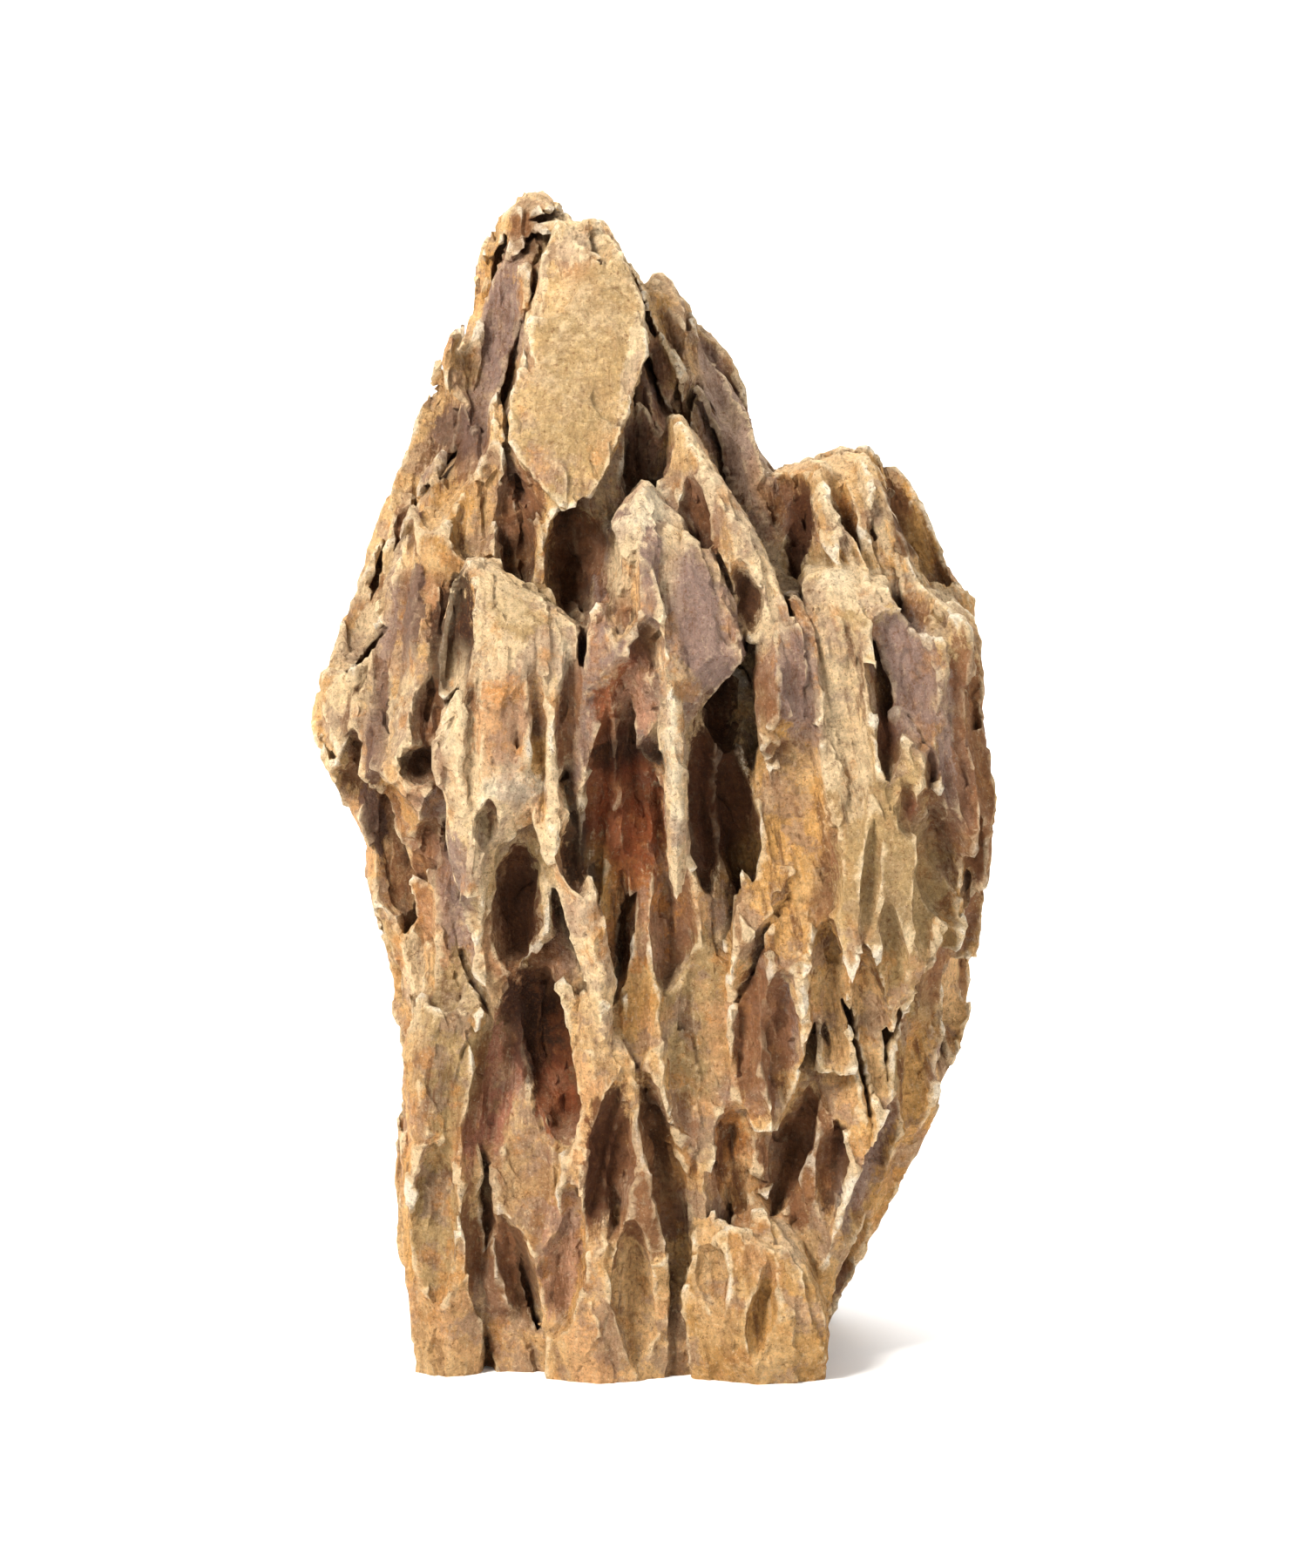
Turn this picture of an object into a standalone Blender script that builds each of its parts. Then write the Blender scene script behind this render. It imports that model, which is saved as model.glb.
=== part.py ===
"""Upright dragon stone: a scalloped ochre rock with tongues, ridges and deep hollows, on a flat base."""

import math
import random

import bmesh
import bpy
from mathutils import Matrix, Vector, noise
from mathutils.bvhtree import BVHTree

MM = 0.001
SEED = 17
NOISE_SHIFT = Vector((5, 3, 1))
BASE_DROP = 6.0  # how far the masses reach below the ground before the flat cut, in mm
STATION_STEP = 5.0  # height between two rings of a mass, in mm
RING_POINTS = 32
SECTION_POWER = 2.5  # 2 is an ellipse, more is squarer
WOBBLE_SIZE = 21.0  # spacing of the swells on the unworn body, in mm
WOBBLE_DEPTH = 1.1
SLAB_BULGE = 0.4  # share of a slab's fall that its face has halfway to the ridge
# The line that the body grows round: where it stands at the ground, in mm, and how it leans as it rises.
AXIS_FOOT = 4.0
AXIS_LEAN = 0.09
SUMMIT = (-14.0, 6.0, 330.0)  # point far above the crown that the flutes run towards, in mm

TONGUE_RINGS = 9
TONGUE_ROOT = 9  # how deep a tongue is rooted in the wall, in mm
TONGUE_TIP = 0.16  # width of a tongue's tip, as a share of its widest place
# Where on half a wave a tongue's width starts, and how much of the wave it runs through, then the same for
# its rise.
TONGUE_SWELL = (0.08, 0.86)
TONGUE_RISE = (0.14, 0.80)
# The corners of a tongue's section: across, as a share of the half width, and how proud, as a share of
# its rise.
TONGUE_CORNERS = ((1, 0.25), (0.45, 0.8), (-0.15, 1), (-0.62, 0.7), (-1, 0.1))

# Scoops round the body, as rows with so many in each; widths, lengths and depths are limits in mm.
FIRST_ROW = 10
WORN_ROWS = 7  # broad worn flutes round the whole body
WORN_ROW_HEIGHT = 29.0
WORN_PER_ROW = 15
WORN_SHIFT = 7  # most that a flute leaves its row, up or down, in mm
WORN_STRAY = 0.2  # most that it leaves its even place in the row, as a share of the space between two
WORN_SIZES = ((13, 19), (46, 72), (2.6, 5.0))
BACK_ROWS = 9  # deeper scoops over the sides and the back
BACK_ROW_HEIGHT = 21.0
BACK_PER_ROW = 13
BACK_SHIFT = 6
BACK_STRAY = 0.25
BACK_SIZES = ((8, 13.5), (26, 50), (4, 9.5))
BACK_START = -34  # azimuth of the first scoop of a row, in degrees
BACK_SWEEP = 248
PIT_COUNT = 54
PIT_HEIGHTS = (8, 190)
PIT_SIZES = ((4, 7), (9, 20), (3.5, 7))
LEAN_LIMIT = 10  # degrees that such a scoop leans, and the most that it dips
DIP_LIMIT = 12
NARROW_RADIUS = 70.0  # a scoop gets narrower where the body is thinner than this, in mm
NARROW_LEAST = 0.45
# Share of its depth that a scoop loses where it would notch the outline seen from the front, and how far
# the wall has turned to the back or the front where that fades out.
EDGE_SPARED = 0.66
EDGE_SPREAD = 0.34

# The form of every scoop: a pointed pebble that is bent, tapered and a little rough.
OPENNESS_LIMITS = (0.16, 0.82)
OPENNESS_FALL = 1.5
POINTEDNESS = 0.22
BEND = 0.30
BEND_MIDDLE = 0.35  # share of the bend that is taken off again, so that the pebble stays centred
TAPER = 0.45
END_SLIMNESS = 0.02  # keeps the pebble's two ends from closing to a line
ROUGHNESS = 0.22
ROUGH_SWELLS = 1.9
# The swells of the noise that bends, tapers and roughens the pebbles, in swells per metre.
BEND_SWELLS = 97
TAPER_SWELLS = 71
PEBBLE_SWELLS = 211
FRONT_AIM = 0.6  # how much a front scoop points straight back; the rest follows the wall
BIG_SCOOP = 190  # width times length from which a scoop has the finer mesh, in square mm

EVEN_MESH = 0.0010  # side of the even mesh that the joined body gets before it is thinned, in metres
TRIANGLE_TARGET = 9400
FLAT_TOLERANCE = 1e-6
STONE_COLOUR = (0.50, 0.30, 0.145, 1)
STONE_ROUGHNESS = 0.88

# Each mass is a stack of rings, from the top down: height, left, right, front, back, all in mm.
SPIRE = (
    (204.6, -23.2, -19.4, -2, 6),
    (201.5, -27.0, -16.0, -6, 10),
    (197.4, -29.5, -9.0, -9, 13),
    (193.5, -31.2, -5.0, -12, 15),
    (187.5, -35.2, -1.0, -15, 18),
    (180.0, -37.8, 2.0, -18, 21),
    (168.0, -40.6, 6.0, -23, 25),
    (156.0, -45.0, 11.0, -28, 29),
    (144.0, -49.8, 18.0, -32, 32),
    (132.0, -54.2, 24.0, -36, 35),
    (120.0, -58.8, 28.0, -39, 37),
    (111.0, -60.2, 31.0, -40, 38),
    (103.0, -56.6, 33.0, -41, 39),
    (90.0, -50.6, 34.0, -41, 40),
    (78.0, -50.2, 34.0, -41, 40),
    (69.0, -48.6, 34.0, -41, 40),
    (60.0, -44.8, 33.0, -40, 39),
    (49.0, -46.6, 32.0, -40, 38),
    (30.0, -47.4, 31.0, -38, 36),
    (12.0, -46.4, 30.0, -37, 34),
    (-BASE_DROP, -45.0, 28.0, -35, 32),
)
BACK_FIN = (
    (189.2, 0.0, 2.4, 5, 11),
    (186.8, -2.0, 4.0, 2, 16),
    (180.0, -4.0, 10.6, -3, 22),
    (172.5, -5.0, 15.2, -7, 27),
    (160.5, -5.0, 18.4, -12, 31),
    (146.0, 0.0, 28.0, -20, 35),
    (130.0, 0.0, 37.0, -28, 38),
    (110.0, 0.0, 42.0, -33, 41),
    (80.0, 0.0, 45.0, -35, 42),
    (40.0, 0.0, 36.0, -34, 38),
    (-BASE_DROP, 0.0, 26.0, -28, 30),
)
SHOULDER = (
    (160.2, 35.0, 41.0, -9, 5),
    (158.2, 28.0, 42.6, -14, 12),
    (155.0, 20.0, 44.4, -18, 18),
    (152.4, 18.0, 46.2, -20, 22),
    (142.5, 16.0, 50.6, -24, 28),
    (137.0, 16.0, 52.4, -27, 30),
    (132.6, 16.0, 56.4, -29, 31),
    (111.0, 16.0, 57.2, -34, 33),
    (99.6, 16.0, 59.2, -36, 34),
    (78.0, 16.0, 58.6, -37, 34),
    (60.0, 14.0, 56.6, -36, 33),
    (45.0, 12.0, 51.6, -36, 32),
    (30.0, 10.0, 45.6, -35, 31),
    (15.0, 8.0, 37.8, -35, 30),
    (-BASE_DROP, 6.0, 31.0, -33, 28),
)
# Each slab stands proud of the body: where its ridge runs across it (0 left, 1 right), how far its left
# and right edges fall back from the ridge, then its rings from the top down as height, left, right,
# outer, inner, in mm.
TAN_SLAB = (0.5, 0.6, 1.4, (
    (200.5, -16.5, -10.0, -11, 2),
    (194.0, -19.0, -5.6, -15.5, 2),
    (187.0, -20.6, -2.4, -19.5, 0),
    (178.0, -22.0, -1.4, -24.5, -2),
    (169.0, -24.2, -4.2, -29.5, -6),
    (162.5, -24.6, -6.4, -33, -10),
    (157.6, -21.2, -8.2, -35, -15),
    (154.4, -18.4, -10.2, -36, -18),
    (151.0, -14.6, -12.0, -37, -22),
))
UPPER_BLOCK = (0.5, 1.5, 1.5, (
    (184.0, -33.0, -31.0, -14, 0),
    (180.0, -35.6, -29.6, -17.5, 0),
    (174.0, -37.0, -29.2, -21.5, -2),
    (169.6, -37.4, -30.2, -24.0, -4),
    (168.0, -36.0, -32.0, -24, -6),
))
LOWER_BLOCK = (0.5, 2.0, 2.0, (
    (160.5, -39.5, -36.0, -20.5, -4),
    (152.0, -42.8, -31.5, -24.5, -4),
    (145.5, -43.8, -29.4, -27.5, -4),
    (141.0, -41.0, -30.0, -28.5, -6),
    (138.0, -37.0, -32.4, -28.5, -8),
))
FLAME = (0.34, 4.5, 6.5, (
    (155.6, -1.8, -0.4, -36, -27),
    (151.5, -5.4, 2.6, -40, -27),
    (145.0, -8.4, 9.0, -43.5, -26),
    (135.0, -9.6, 13.4, -46.5, -24),
    (127.0, -11.0, 15.4, -48, -24),
    (119.0, -13.0, 9.0, -47, -24),
    (108.0, -14.6, 1.0, -44, -24),
    (95.0, -15.0, -8.0, -40, -24),
))
SECOND_FLAME = (0.8, 6.0, 2.0, (
    (166.0, 3.0, 5.0, -26, -14),
    (161.0, 1.0, 8.6, -31, -14),
    (154.0, 0.4, 12.8, -35, -16),
    (147.0, 2.0, 17.0, -38, -18),
    (140.0, 5.0, 20.6, -40, -20),
    (135.0, 9.0, 22.6, -40.5, -22),
    (129.0, 13.0, 22.0, -40, -24),
))
CREAM_SLAB = (0.3, 3.0, 4.0, (
    (142.0, -31.6, -28.0, -39, -22),
    (136.5, -34.2, -19.4, -43, -22),
    (131.5, -35.6, -12.8, -45.5, -22),
    (120.0, -37.4, -13.0, -47.5, -22),
    (107.0, -36.6, -15.0, -47.5, -22),
    (101.0, -34.6, -17.4, -46.5, -22),
    (94.0, -34.8, -26.6, -44.0, -22),
    (80.0, -33.4, -28.4, -38.5, -22),
))
PANEL_TIP = (0.3, 4.0, 3.0, (
    (136.2, 22.4, 24.4, -37, -20),
    (131.0, 18.4, 27.0, -41, -20),
    (122.0, 17.4, 29.4, -44, -20),
    (112.0, 18.0, 31.0, -45, -20),
    (105.0, 20.0, 31.0, -43.5, -22),
    (99.0, 23.0, 30.0, -41, -24),
))
RIGHT_COLUMN = (0.24, 3.0, 7.0, (
    (140.4, 27.0, 36.0, -32, -10),
    (137.6, 25.4, 46.0, -36, -12),
    (131.0, 26.4, 53.6, -39, -14),
    (110.0, 29.0, 55.6, -42, -16),
    (94.0, 29.4, 56.0, -43.5, -16),
    (76.0, 28.6, 53.4, -42, -16),
    (54.0, 28.0, 46.0, -37, -10),
))
OCHRE_PANEL = (0.62, 3.0, 2.0, (
    (110.0, 18.0, 27.0, -36, -14),
    (98.0, 16.0, 30.4, -41, -14),
    (84.0, 14.0, 30.4, -42.5, -14),
    (62.0, 13.0, 27.0, -41, -14),
    (44.0, 15.0, 22.0, -37, -14),
))
LEFT_PLEAT = (0.6, 3.0, 3.0, (
    (150.0, -43.0, -40.0, -19, 4),
    (134.0, -47.6, -40.4, -25, 4),
    (116.0, -50.4, -41.0, -31, 4),
    (102.0, -49.0, -41.6, -31, 4),
    (92.0, -46.0, -42.0, -29, 4),
))
LOW_PLEAT = (0.5, 3.0, 3.0, (
    (92.0, -50.0, -45.4, -13, 10),
    (84.0, -50.4, -43.0, -18, 10),
    (76.0, -48.8, -41.0, -20, 10),
    (66.0, -46.8, -39.0, -20, 10),
    (54.0, -45.2, -38.0, -19, 10),
    (42.0, -43.6, -39.4, -15, 10),
))
LEFT_LOBE = (0.5, 3.0, 3.0, (
    (144.0, -48.5, -46.4, -12, 6),
    (131.0, -54.0, -48.6, -18, 6),
    (119.0, -58.4, -52.0, -22, 6),
    (108.0, -58.8, -51.0, -23, 6),
    (98.0, -54.4, -49.6, -22, 6),
))
SECOND_PEAK = (0.5, 2.0, 2.0, (
    (190.2, 0.2, 2.8, 3, 13),
    (187.0, -2.4, 4.2, -1, 17),
    (180.0, -4.0, 10.4, -5, 22),
    (172.5, -5.0, 15.2, -9, 26),
    (161.0, -4.0, 18.2, -13, 28),
    (148.0, 0.0, 22.0, -18, 28),
))
SHOULDER_RIB = (0.5, 1.5, 1.5, (
    (158.0, 27.4, 29.8, -19, 0),
    (152.0, 27.8, 31.4, -24.5, 0),
    (145.0, 29.6, 34.8, -29, -6),
    (139.0, 32.6, 37.2, -32, -10),
))
OUTER_RIB = (0.5, 1.5, 1.5, (
    (159.0, 35.2, 37.6, -17, 0),
    (152.0, 36.8, 40.2, -23, 0),
    (144.0, 39.8, 43.8, -28, -6),
    (138.5, 42.0, 45.4, -31, -10),
))
FAR_RIGHT = (0.35, 3.0, 4.0, (
    (134.8, 50.0, 55.2, -22, -6),
    (128.0, 49.0, 56.4, -28, -8),
    (114.0, 50.0, 57.0, -33, -8),
    (100.0, 52.0, 59.0, -33.5, -8),
    (84.0, 53.0, 58.2, -30, -8),
    (72.0, 52.5, 56.6, -24, -8),
))
MIDDLE_RIB = (0.5, 1.5, 1.5, (
    (128.0, 1.2, 3.0, -46, -28),
    (118.0, 1.2, 4.6, -48, -28),
    (106.0, 2.0, 5.6, -48, -28),
    (95.0, 2.8, 5.6, -46.5, -28),
    (85.0, 3.4, 4.8, -43.5, -28),
))
LEFT_PILLAR = (0.4, 2.0, 2.0, (
    (103.0, -31.0, -28.0, -44, -24),
    (96.0, -32.0, -28.6, -45, -24),
    (84.0, -33.2, -29.2, -44.5, -24),
    (72.0, -32.8, -29.0, -43, -24),
    (61.0, -31.0, -29.0, -40, -24),
))
LEANING_PILLAR = (0.5, 2.0, 2.0, (
    (107.0, -21.5, -16.5, -45, -26),
    (98.0, -19.8, -13.8, -46.5, -26),
    (89.0, -16.8, -10.8, -46.5, -26),
    (80.0, -13.8, -8.2, -46, -26),
    (71.0, -11.6, -6.6, -45, -26),
    (61.0, -10.4, -7.0, -42, -26),
))
LOW_TONGUE = (0.4, 3.0, 3.6, (
    (70.0, -13.0, -10.0, -40, -18),
    (56.0, -14.4, -4.0, -44, -18),
    (36.0, -16.0, 1.0, -44, -18),
    (14.0, -18.0, 3.0, -41, -18),
    (-BASE_DROP, -18.0, 3.0, -38, -18),
))
LOW_LEFT = (0.5, 4.0, 3.0, (
    (74.0, -40.0, -36.0, -32, -14),
    (56.0, -43.0, -32.0, -38, -16),
    (30.0, -44.0, -30.0, -38.5, -16),
    (-BASE_DROP, -41.0, -30.0, -35, -16),
))
FOOT = (0.5, 4.0, 4.0, (
    (31.0, 10.0, 17.0, -37, -18),
    (24.0, 6.0, 25.0, -41, -18),
    (13.0, 5.0, 29.4, -43.5, -18),
    (4.0, 6.0, 30.4, -42, -18),
    (-BASE_DROP, 8.0, 28.0, -38, -18),
))
FRONT_SLABS = (
    TAN_SLAB, UPPER_BLOCK, LOWER_BLOCK, FLAME, SECOND_FLAME, CREAM_SLAB, PANEL_TIP, RIGHT_COLUMN,
    OCHRE_PANEL, LEFT_PLEAT, LOW_PLEAT, LEFT_LOBE, SECOND_PEAK, SHOULDER_RIB, OUTER_RIB, FAR_RIGHT,
    MIDDLE_RIB, LEFT_PILLAR, LEANING_PILLAR, LOW_TONGUE, LOW_LEFT, FOOT,
)

# Each tongue on the sides and the back: azimuth, top, length, width and how proud, in degrees and mm.
BACK_TONGUES = (
    (100, 176, 62, 17, 4.0),
    (66, 150, 70, 20, 5.0),
    (124, 138, 74, 21, 5.5),
    (92, 108, 70, 19, 5.0),
    (150, 112, 60, 17, 4.0),
    (48, 96, 66, 19, 4.5),
    (118, 66, 58, 20, 5.0),
    (76, 52, 48, 18, 4.5),
    (160, 60, 50, 16, 3.5),
    (28, 58, 50, 15, 3.0),
    (12, 124, 52, 15, 2.6),
    (172, 168, 40, 12, 2.4),
)

# Each scoop on the front: across, height, width, length, depth in mm, then the lean to the right and the
# dip in degrees. A dip above 0 undercuts the top of the hollow.
FRONT_SCOOPS = (
    # crown and the two sides of the tan slab
    (-20.4, 193.0, 2.6, 22, 1.6, 0, 0),
    (-24.8, 172.0, 5.4, 40, 2.6, -4, 0),
    (-27.5, 183.0, 10.6, 36, 2.7, 4, 0),
    (-22.6, 199.5, 7.9, 11, 2.0, -10, 0),
    (-34.8, 163.0, 12.5, 30, 3.3, 6, 0),
    (-33.0, 187.0, 7.9, 24, 2.0, 14, 0),
    (0.6, 174.5, 5.4, 26, 3.0, -18, 0),
    (-1.6, 161.5, 8.6, 33, 6.2, 8, 0),
    (3.9, 169.0, 2.8, 8, 2.0, -6, 0),
    (3.0, 181.5, 4.3, 20, 2.8, -22, 0),
    (12.4, 166.0, 10.6, 46, 2.9, -17, 0),
    (-11.0, 199.0, 7.9, 10, 1.6, -30, 0),
    # hollows under the tan slab and beside it
    (-12.6, 141.5, 12.6, 23, 10.3, 0, 14),
    (-12.4, 147.0, 9.4, 15, 7.7, 0, 22),
    (-24.0, 148.0, 8.0, 29, 5.8, -5, 8),
    (-34.8, 130.0, 9.8, 33, 8.0, 10, 8),
    (-38.6, 116.4, 5.8, 18, 4.2, 5, 0),
    (-39.6, 106.5, 9.7, 9, 7.3, 0, 12),
    (-29.5, 155.0, 7.9, 24, 2.4, 8, 0),
    # left flank
    (-43.4, 149.4, 3.2, 17, 2.3, 6, 0),
    (-47.2, 126.0, 5.0, 41, 3.6, 9, 0),
    (-43.0, 138.0, 3.7, 26, 2.7, 6, 0),
    (-54.0, 114.0, 11.9, 36, 3.1, 10, 0),
    (-49.4, 114.0, 5.0, 26, 3.6, 8, 0),
    (-46.5, 95.5, 13.9, 23, 5.0, -15, 0),
    (-39.4, 90.5, 8.0, 17, 5.8, 12, 8),
    (-34.6, 84.5, 12.5, 36, 3.5, 3, 0),
    (-46.4, 75.0, 5.0, 31, 2.0, -10, 0),
    (-33.2, 66.6, 8.6, 6, 5.9, 0, 20),
    (-41.6, 68.0, 4.3, 21, 2.0, -6, 0),
    # middle, left of the rust channel
    (-28.2, 98.0, 4.8, 11, 3.5, 0, 6),
    (-23.4, 84.0, 9.2, 27, 7.6, 3, 8),
    (-18.4, 73.5, 6.8, 12, 4.7, 4, 6),
    (-19.0, 60.0, 13.0, 33, 11.0, -12, 12),
    (-17.0, 52.0, 9.4, 25, 10.5, -13, 6),
    (-34.0, 55.0, 15.2, 45, 2.9, 3, 0),
    (-27.4, 49.0, 9.9, 36, 3.1, 12, 0),
    (-8.4, 40.0, 6.2, 34, 5.0, 10, 6),
    (-5.8, 38.0, 5.8, 30, 5.0, 6, 4),
    (1.4, 38.0, 7.0, 41, 5.0, -12, 0),
    (-14.8, 78.0, 5.4, 23, 3.0, -10, 0),
    (-12.8, 94.0, 6.6, 16, 5.4, 0, 10),
    (-30.6, 108.0, 3.9, 38, 2.0, 2, 0),
    (-19.4, 112.0, 4.1, 34, 2.6, -4, 0),
    (-14.4, 119.0, 4.3, 34, 3.1, 4, 0),
    (-38.6, 113.0, 4.2, 40, 3.0, 4, 0),
    (-22.4, 118.0, 6.6, 22, 1.4, 10, 0),
    # rust channel, under the flame
    (-4.9, 119.0, 14.0, 24, 5.5, 4, 8),
    (-1.2, 128.4, 6.9, 15, 3.6, 16, 10),
    (-9.0, 100.0, 6.4, 40, 4.6, 2, 4),
    (-3.2, 98.0, 6.8, 46, 6.0, -2, 6),
    (1.4, 93.0, 5.0, 36, 4.0, -6, 4),
    (-6.8, 82.0, 6.0, 28, 4.0, 3, 0),
    (-5.2, 138.0, 6.7, 18, 3.6, 6, 0),
    (5.6, 137.0, 9.2, 38, 2.0, -8, 0),
    # dark hollows right of the middle
    (8.8, 103.0, 7.6, 38, 6.0, -2, 6),
    (14.2, 98.0, 7.8, 34, 6.6, -8, 5),
    (3.4, 80.5, 8.6, 29, 6.2, 0, 4),
    (12.4, 117.6, 9.3, 18, 7.6, 0, 10),
    (15.8, 137.0, 5.4, 16, 3.9, -12, 6),
    (7.0, 151.0, 5.4, 19, 3.9, -14, 6),
    (18.0, 151.0, 3.4, 26, 2.2, -24, 0),
    (25.4, 118.5, 9.0, 23, 2.4, -10, 0),
    (21.0, 107.6, 8.0, 10, 5.8, 0, 10),
    (23.6, 94.0, 17.8, 48, 5.3, 5, 0),
    (29.4, 87.4, 5.4, 22, 3.9, 8, 0),
    # shoulder
    (24.9, 148.0, 6.0, 24, 4.3, -3, 6),
    (20.8, 152.6, 6.9, 18, 5.0, -10, 0),
    (33.2, 149.0, 4.8, 20, 3.5, -8, 0),
    (40.6, 149.0, 4.6, 20, 3.3, -18, 0),
    (47.0, 144.0, 8.4, 33, 2.9, -20, 0),
    (27.0, 158.0, 10.6, 7, 2.7, 0, 0),
    # right column
    (43.0, 124.6, 11.4, 31, 4.2, -13, 4),
    (40.0, 113.0, 5.0, 15, 3.6, 4, 8),
    (43.6, 100.6, 4.3, 11, 3.1, 0, 6),
    (47.6, 107.0, 2.8, 11, 2.0, 0, 0),
    (53.2, 111.0, 9.2, 51, 3.3, -3, 0),
    (33.0, 121.0, 7.9, 48, 2.0, -4, 0),
    (55.6, 87.0, 5.0, 23, 3.0, 0, 0),
    (37.0, 88.0, 3.7, 28, 2.2, 5, 0),
    (46.6, 84.0, 4.8, 32, 2.4, -3, 0),
    (51.0, 70.0, 4.3, 28, 3.0, 4, 0),
    (41.0, 74.0, 5.0, 23, 3.4, -6, 0),
    # lower right and foot
    (15.4, 62.0, 7.6, 38, 5.2, 8, 4),
    (22.2, 57.0, 7.8, 36, 6.0, -2, 6),
    (30.4, 66.0, 7.0, 34, 4.4, -2, 0),
    (37.6, 62.0, 7.2, 32, 5.0, -10, 4),
    (47.0, 60.0, 9.7, 41, 5.2, 9, 0),
    (24.4, 41.0, 6.8, 30, 5.2, 16, 4),
    (30.8, 37.0, 6.2, 24, 4.4, 6, 0),
    (14.0, 38.0, 8.6, 26, 5.6, -4, 0),
    (39.0, 36.0, 9.7, 33, 5.2, 16, 0),
    (19.0, 14.0, 5.4, 26, 3.9, 10, 0),
    (10.0, 20.0, 6.5, 15, 3.0, -14, 0),
    (-38.0, 27.0, 9.7, 36, 4.9, 2, 0),
    (-30.2, 24.0, 5.8, 30, 3.8, -2, 4),
    (-24.8, 20.0, 6.0, 28, 4.2, -10, 4),
    (-16.4, 21.0, 9.7, 31, 5.2, 8, 0),
    (-3.0, 15.0, 8.6, 29, 4.9, -4, 0),
)

# Scoops in the upward faces: across, along, width, length and depth in mm.
TOP_SCOOPS = (
    (30.0, -2.0, 9.0, 20, 4.0),
    (39.0, 9.0, 9.0, 16, 4.0),
    (22.0, 10.0, 10.0, 22, 5.0),
    (8.0, 20.0, 8.0, 18, 4.0),
    (-8.0, 14.0, 9.0, 20, 4.0),
    (-24.0, 12.0, 7.0, 16, 3.0),
    (46.0, -4.0, 7.0, 18, 3.4),
    (36.0, 20.0, 10.0, 20, 5.0),
    (49.0, -33.0, 5.0, 10, 2.4),
    (34.0, -30.0, 5.0, 10, 2.4),
    (-14.0, 4.0, 5.0, 12, 2.2),
    (12.0, 4.0, 6.0, 16, 4.0),
)


def clear_scene():
    for obj in list(bpy.data.objects):
        bpy.data.objects.remove(obj)


def mesh_object(name, form):
    mesh = bpy.data.meshes.new(name)
    form.to_mesh(mesh)
    form.free()
    obj = bpy.data.objects.new(name, mesh)
    bpy.context.scene.collection.objects.link(obj)
    return obj


def stone_material():
    material = bpy.data.materials.new("ochre_stone")
    material.use_nodes = True
    shader = material.node_tree.nodes["Principled BSDF"]
    shader.inputs["Base Color"].default_value = STONE_COLOUR
    shader.inputs["Roughness"].default_value = STONE_ROUGHNESS
    shader.inputs["Metallic"].default_value = 0
    return material


def stations_of(stack):
    """Rings at even heights, straight between the rings given."""
    rings = [stack[0]]
    for upper, lower in zip(stack, stack[1:]):
        steps = max(1, round((upper[0] - lower[0]) / STATION_STEP))
        for i in range(1, steps + 1):
            t = i / steps
            rings.append(tuple(a + (b - a) * t for a, b in zip(upper, lower)))
    return rings


def squared(value):
    return math.copysign(abs(value) ** (2 / SECTION_POWER), value)


def swollen(point, centre):
    """The point moved in or out a little, so that no wall is perfectly even."""
    out = Vector((point.x - centre.x, point.y - centre.y, 0)).normalized()
    return (point + out * noise.noise(point / WOBBLE_SIZE) * WOBBLE_DEPTH) * MM


def round_ring(ring):
    height, left, right, front, back = ring
    middle = Vector(((left + right) / 2, (front + back) / 2, height))
    for i in range(RING_POINTS):
        turn = math.tau * i / RING_POINTS
        across = squared(math.cos(turn)) * (right - left) / 2
        along = squared(math.sin(turn)) * (back - front) / 2
        yield swollen(middle + Vector((across, along, 0)), middle)


def slab_ring(ring, ridge, fall_left, fall_right):
    """A prow: a ridge between two flat faces, and two flat sides back into the body."""
    height, left, right, outer, inner = ring
    way = math.copysign(1, inner - outer)
    crest = left + (right - left) * ridge
    corners = (
        (left, inner),
        (left, (inner + outer) / 2),
        (left, outer + way * fall_left),
        ((left + crest) / 2, outer + way * fall_left * SLAB_BULGE),
        (crest, outer),
        ((crest + right) / 2, outer + way * fall_right * SLAB_BULGE),
        (right, outer + way * fall_right),
        (right, (inner + outer) / 2),
        (right, inner),
    )
    middle = Vector(((left + right) / 2, inner, height))
    for across, along in corners:
        yield swollen(Vector((across, along, height)), middle)


def stacked_object(name, rings):
    """One closed stack of rings of points with flat ends."""
    form = bmesh.new()
    rings = [[form.verts.new(point) for point in ring] for ring in rings]
    count = len(rings[0])
    for upper, lower in zip(rings, rings[1:]):
        for i in range(count):
            form.faces.new((upper[i - 1], lower[i - 1], lower[i], upper[i]))
    form.faces.new(rings[0])
    form.faces.new(list(reversed(rings[-1])))
    bmesh.ops.triangulate(form, faces=form.faces)
    bmesh.ops.recalc_face_normals(form, faces=form.faces)
    return mesh_object(name, form)


def mass_object(name, stack):
    return stacked_object(name, [list(round_ring(ring)) for ring in stations_of(stack)])


def slab_object(name, slab):
    ridge, fall_left, fall_right, stack = slab
    rings = [list(slab_ring(ring, ridge, fall_left, fall_right)) for ring in stations_of(stack)]
    return stacked_object(name, rings)


def tongue_section(half, rise):
    """Across and how proud, in mm, of each corner of a tongue, with its two rooted corners."""
    face = [(half * across, rise * proud) for across, proud in TONGUE_CORNERS]
    return [(half, -TONGUE_ROOT), *face, (-half, -TONGUE_ROOT)]


def half_wave(span, t):
    start, share = span
    return math.sin(math.pi * (start + t * share))


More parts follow.
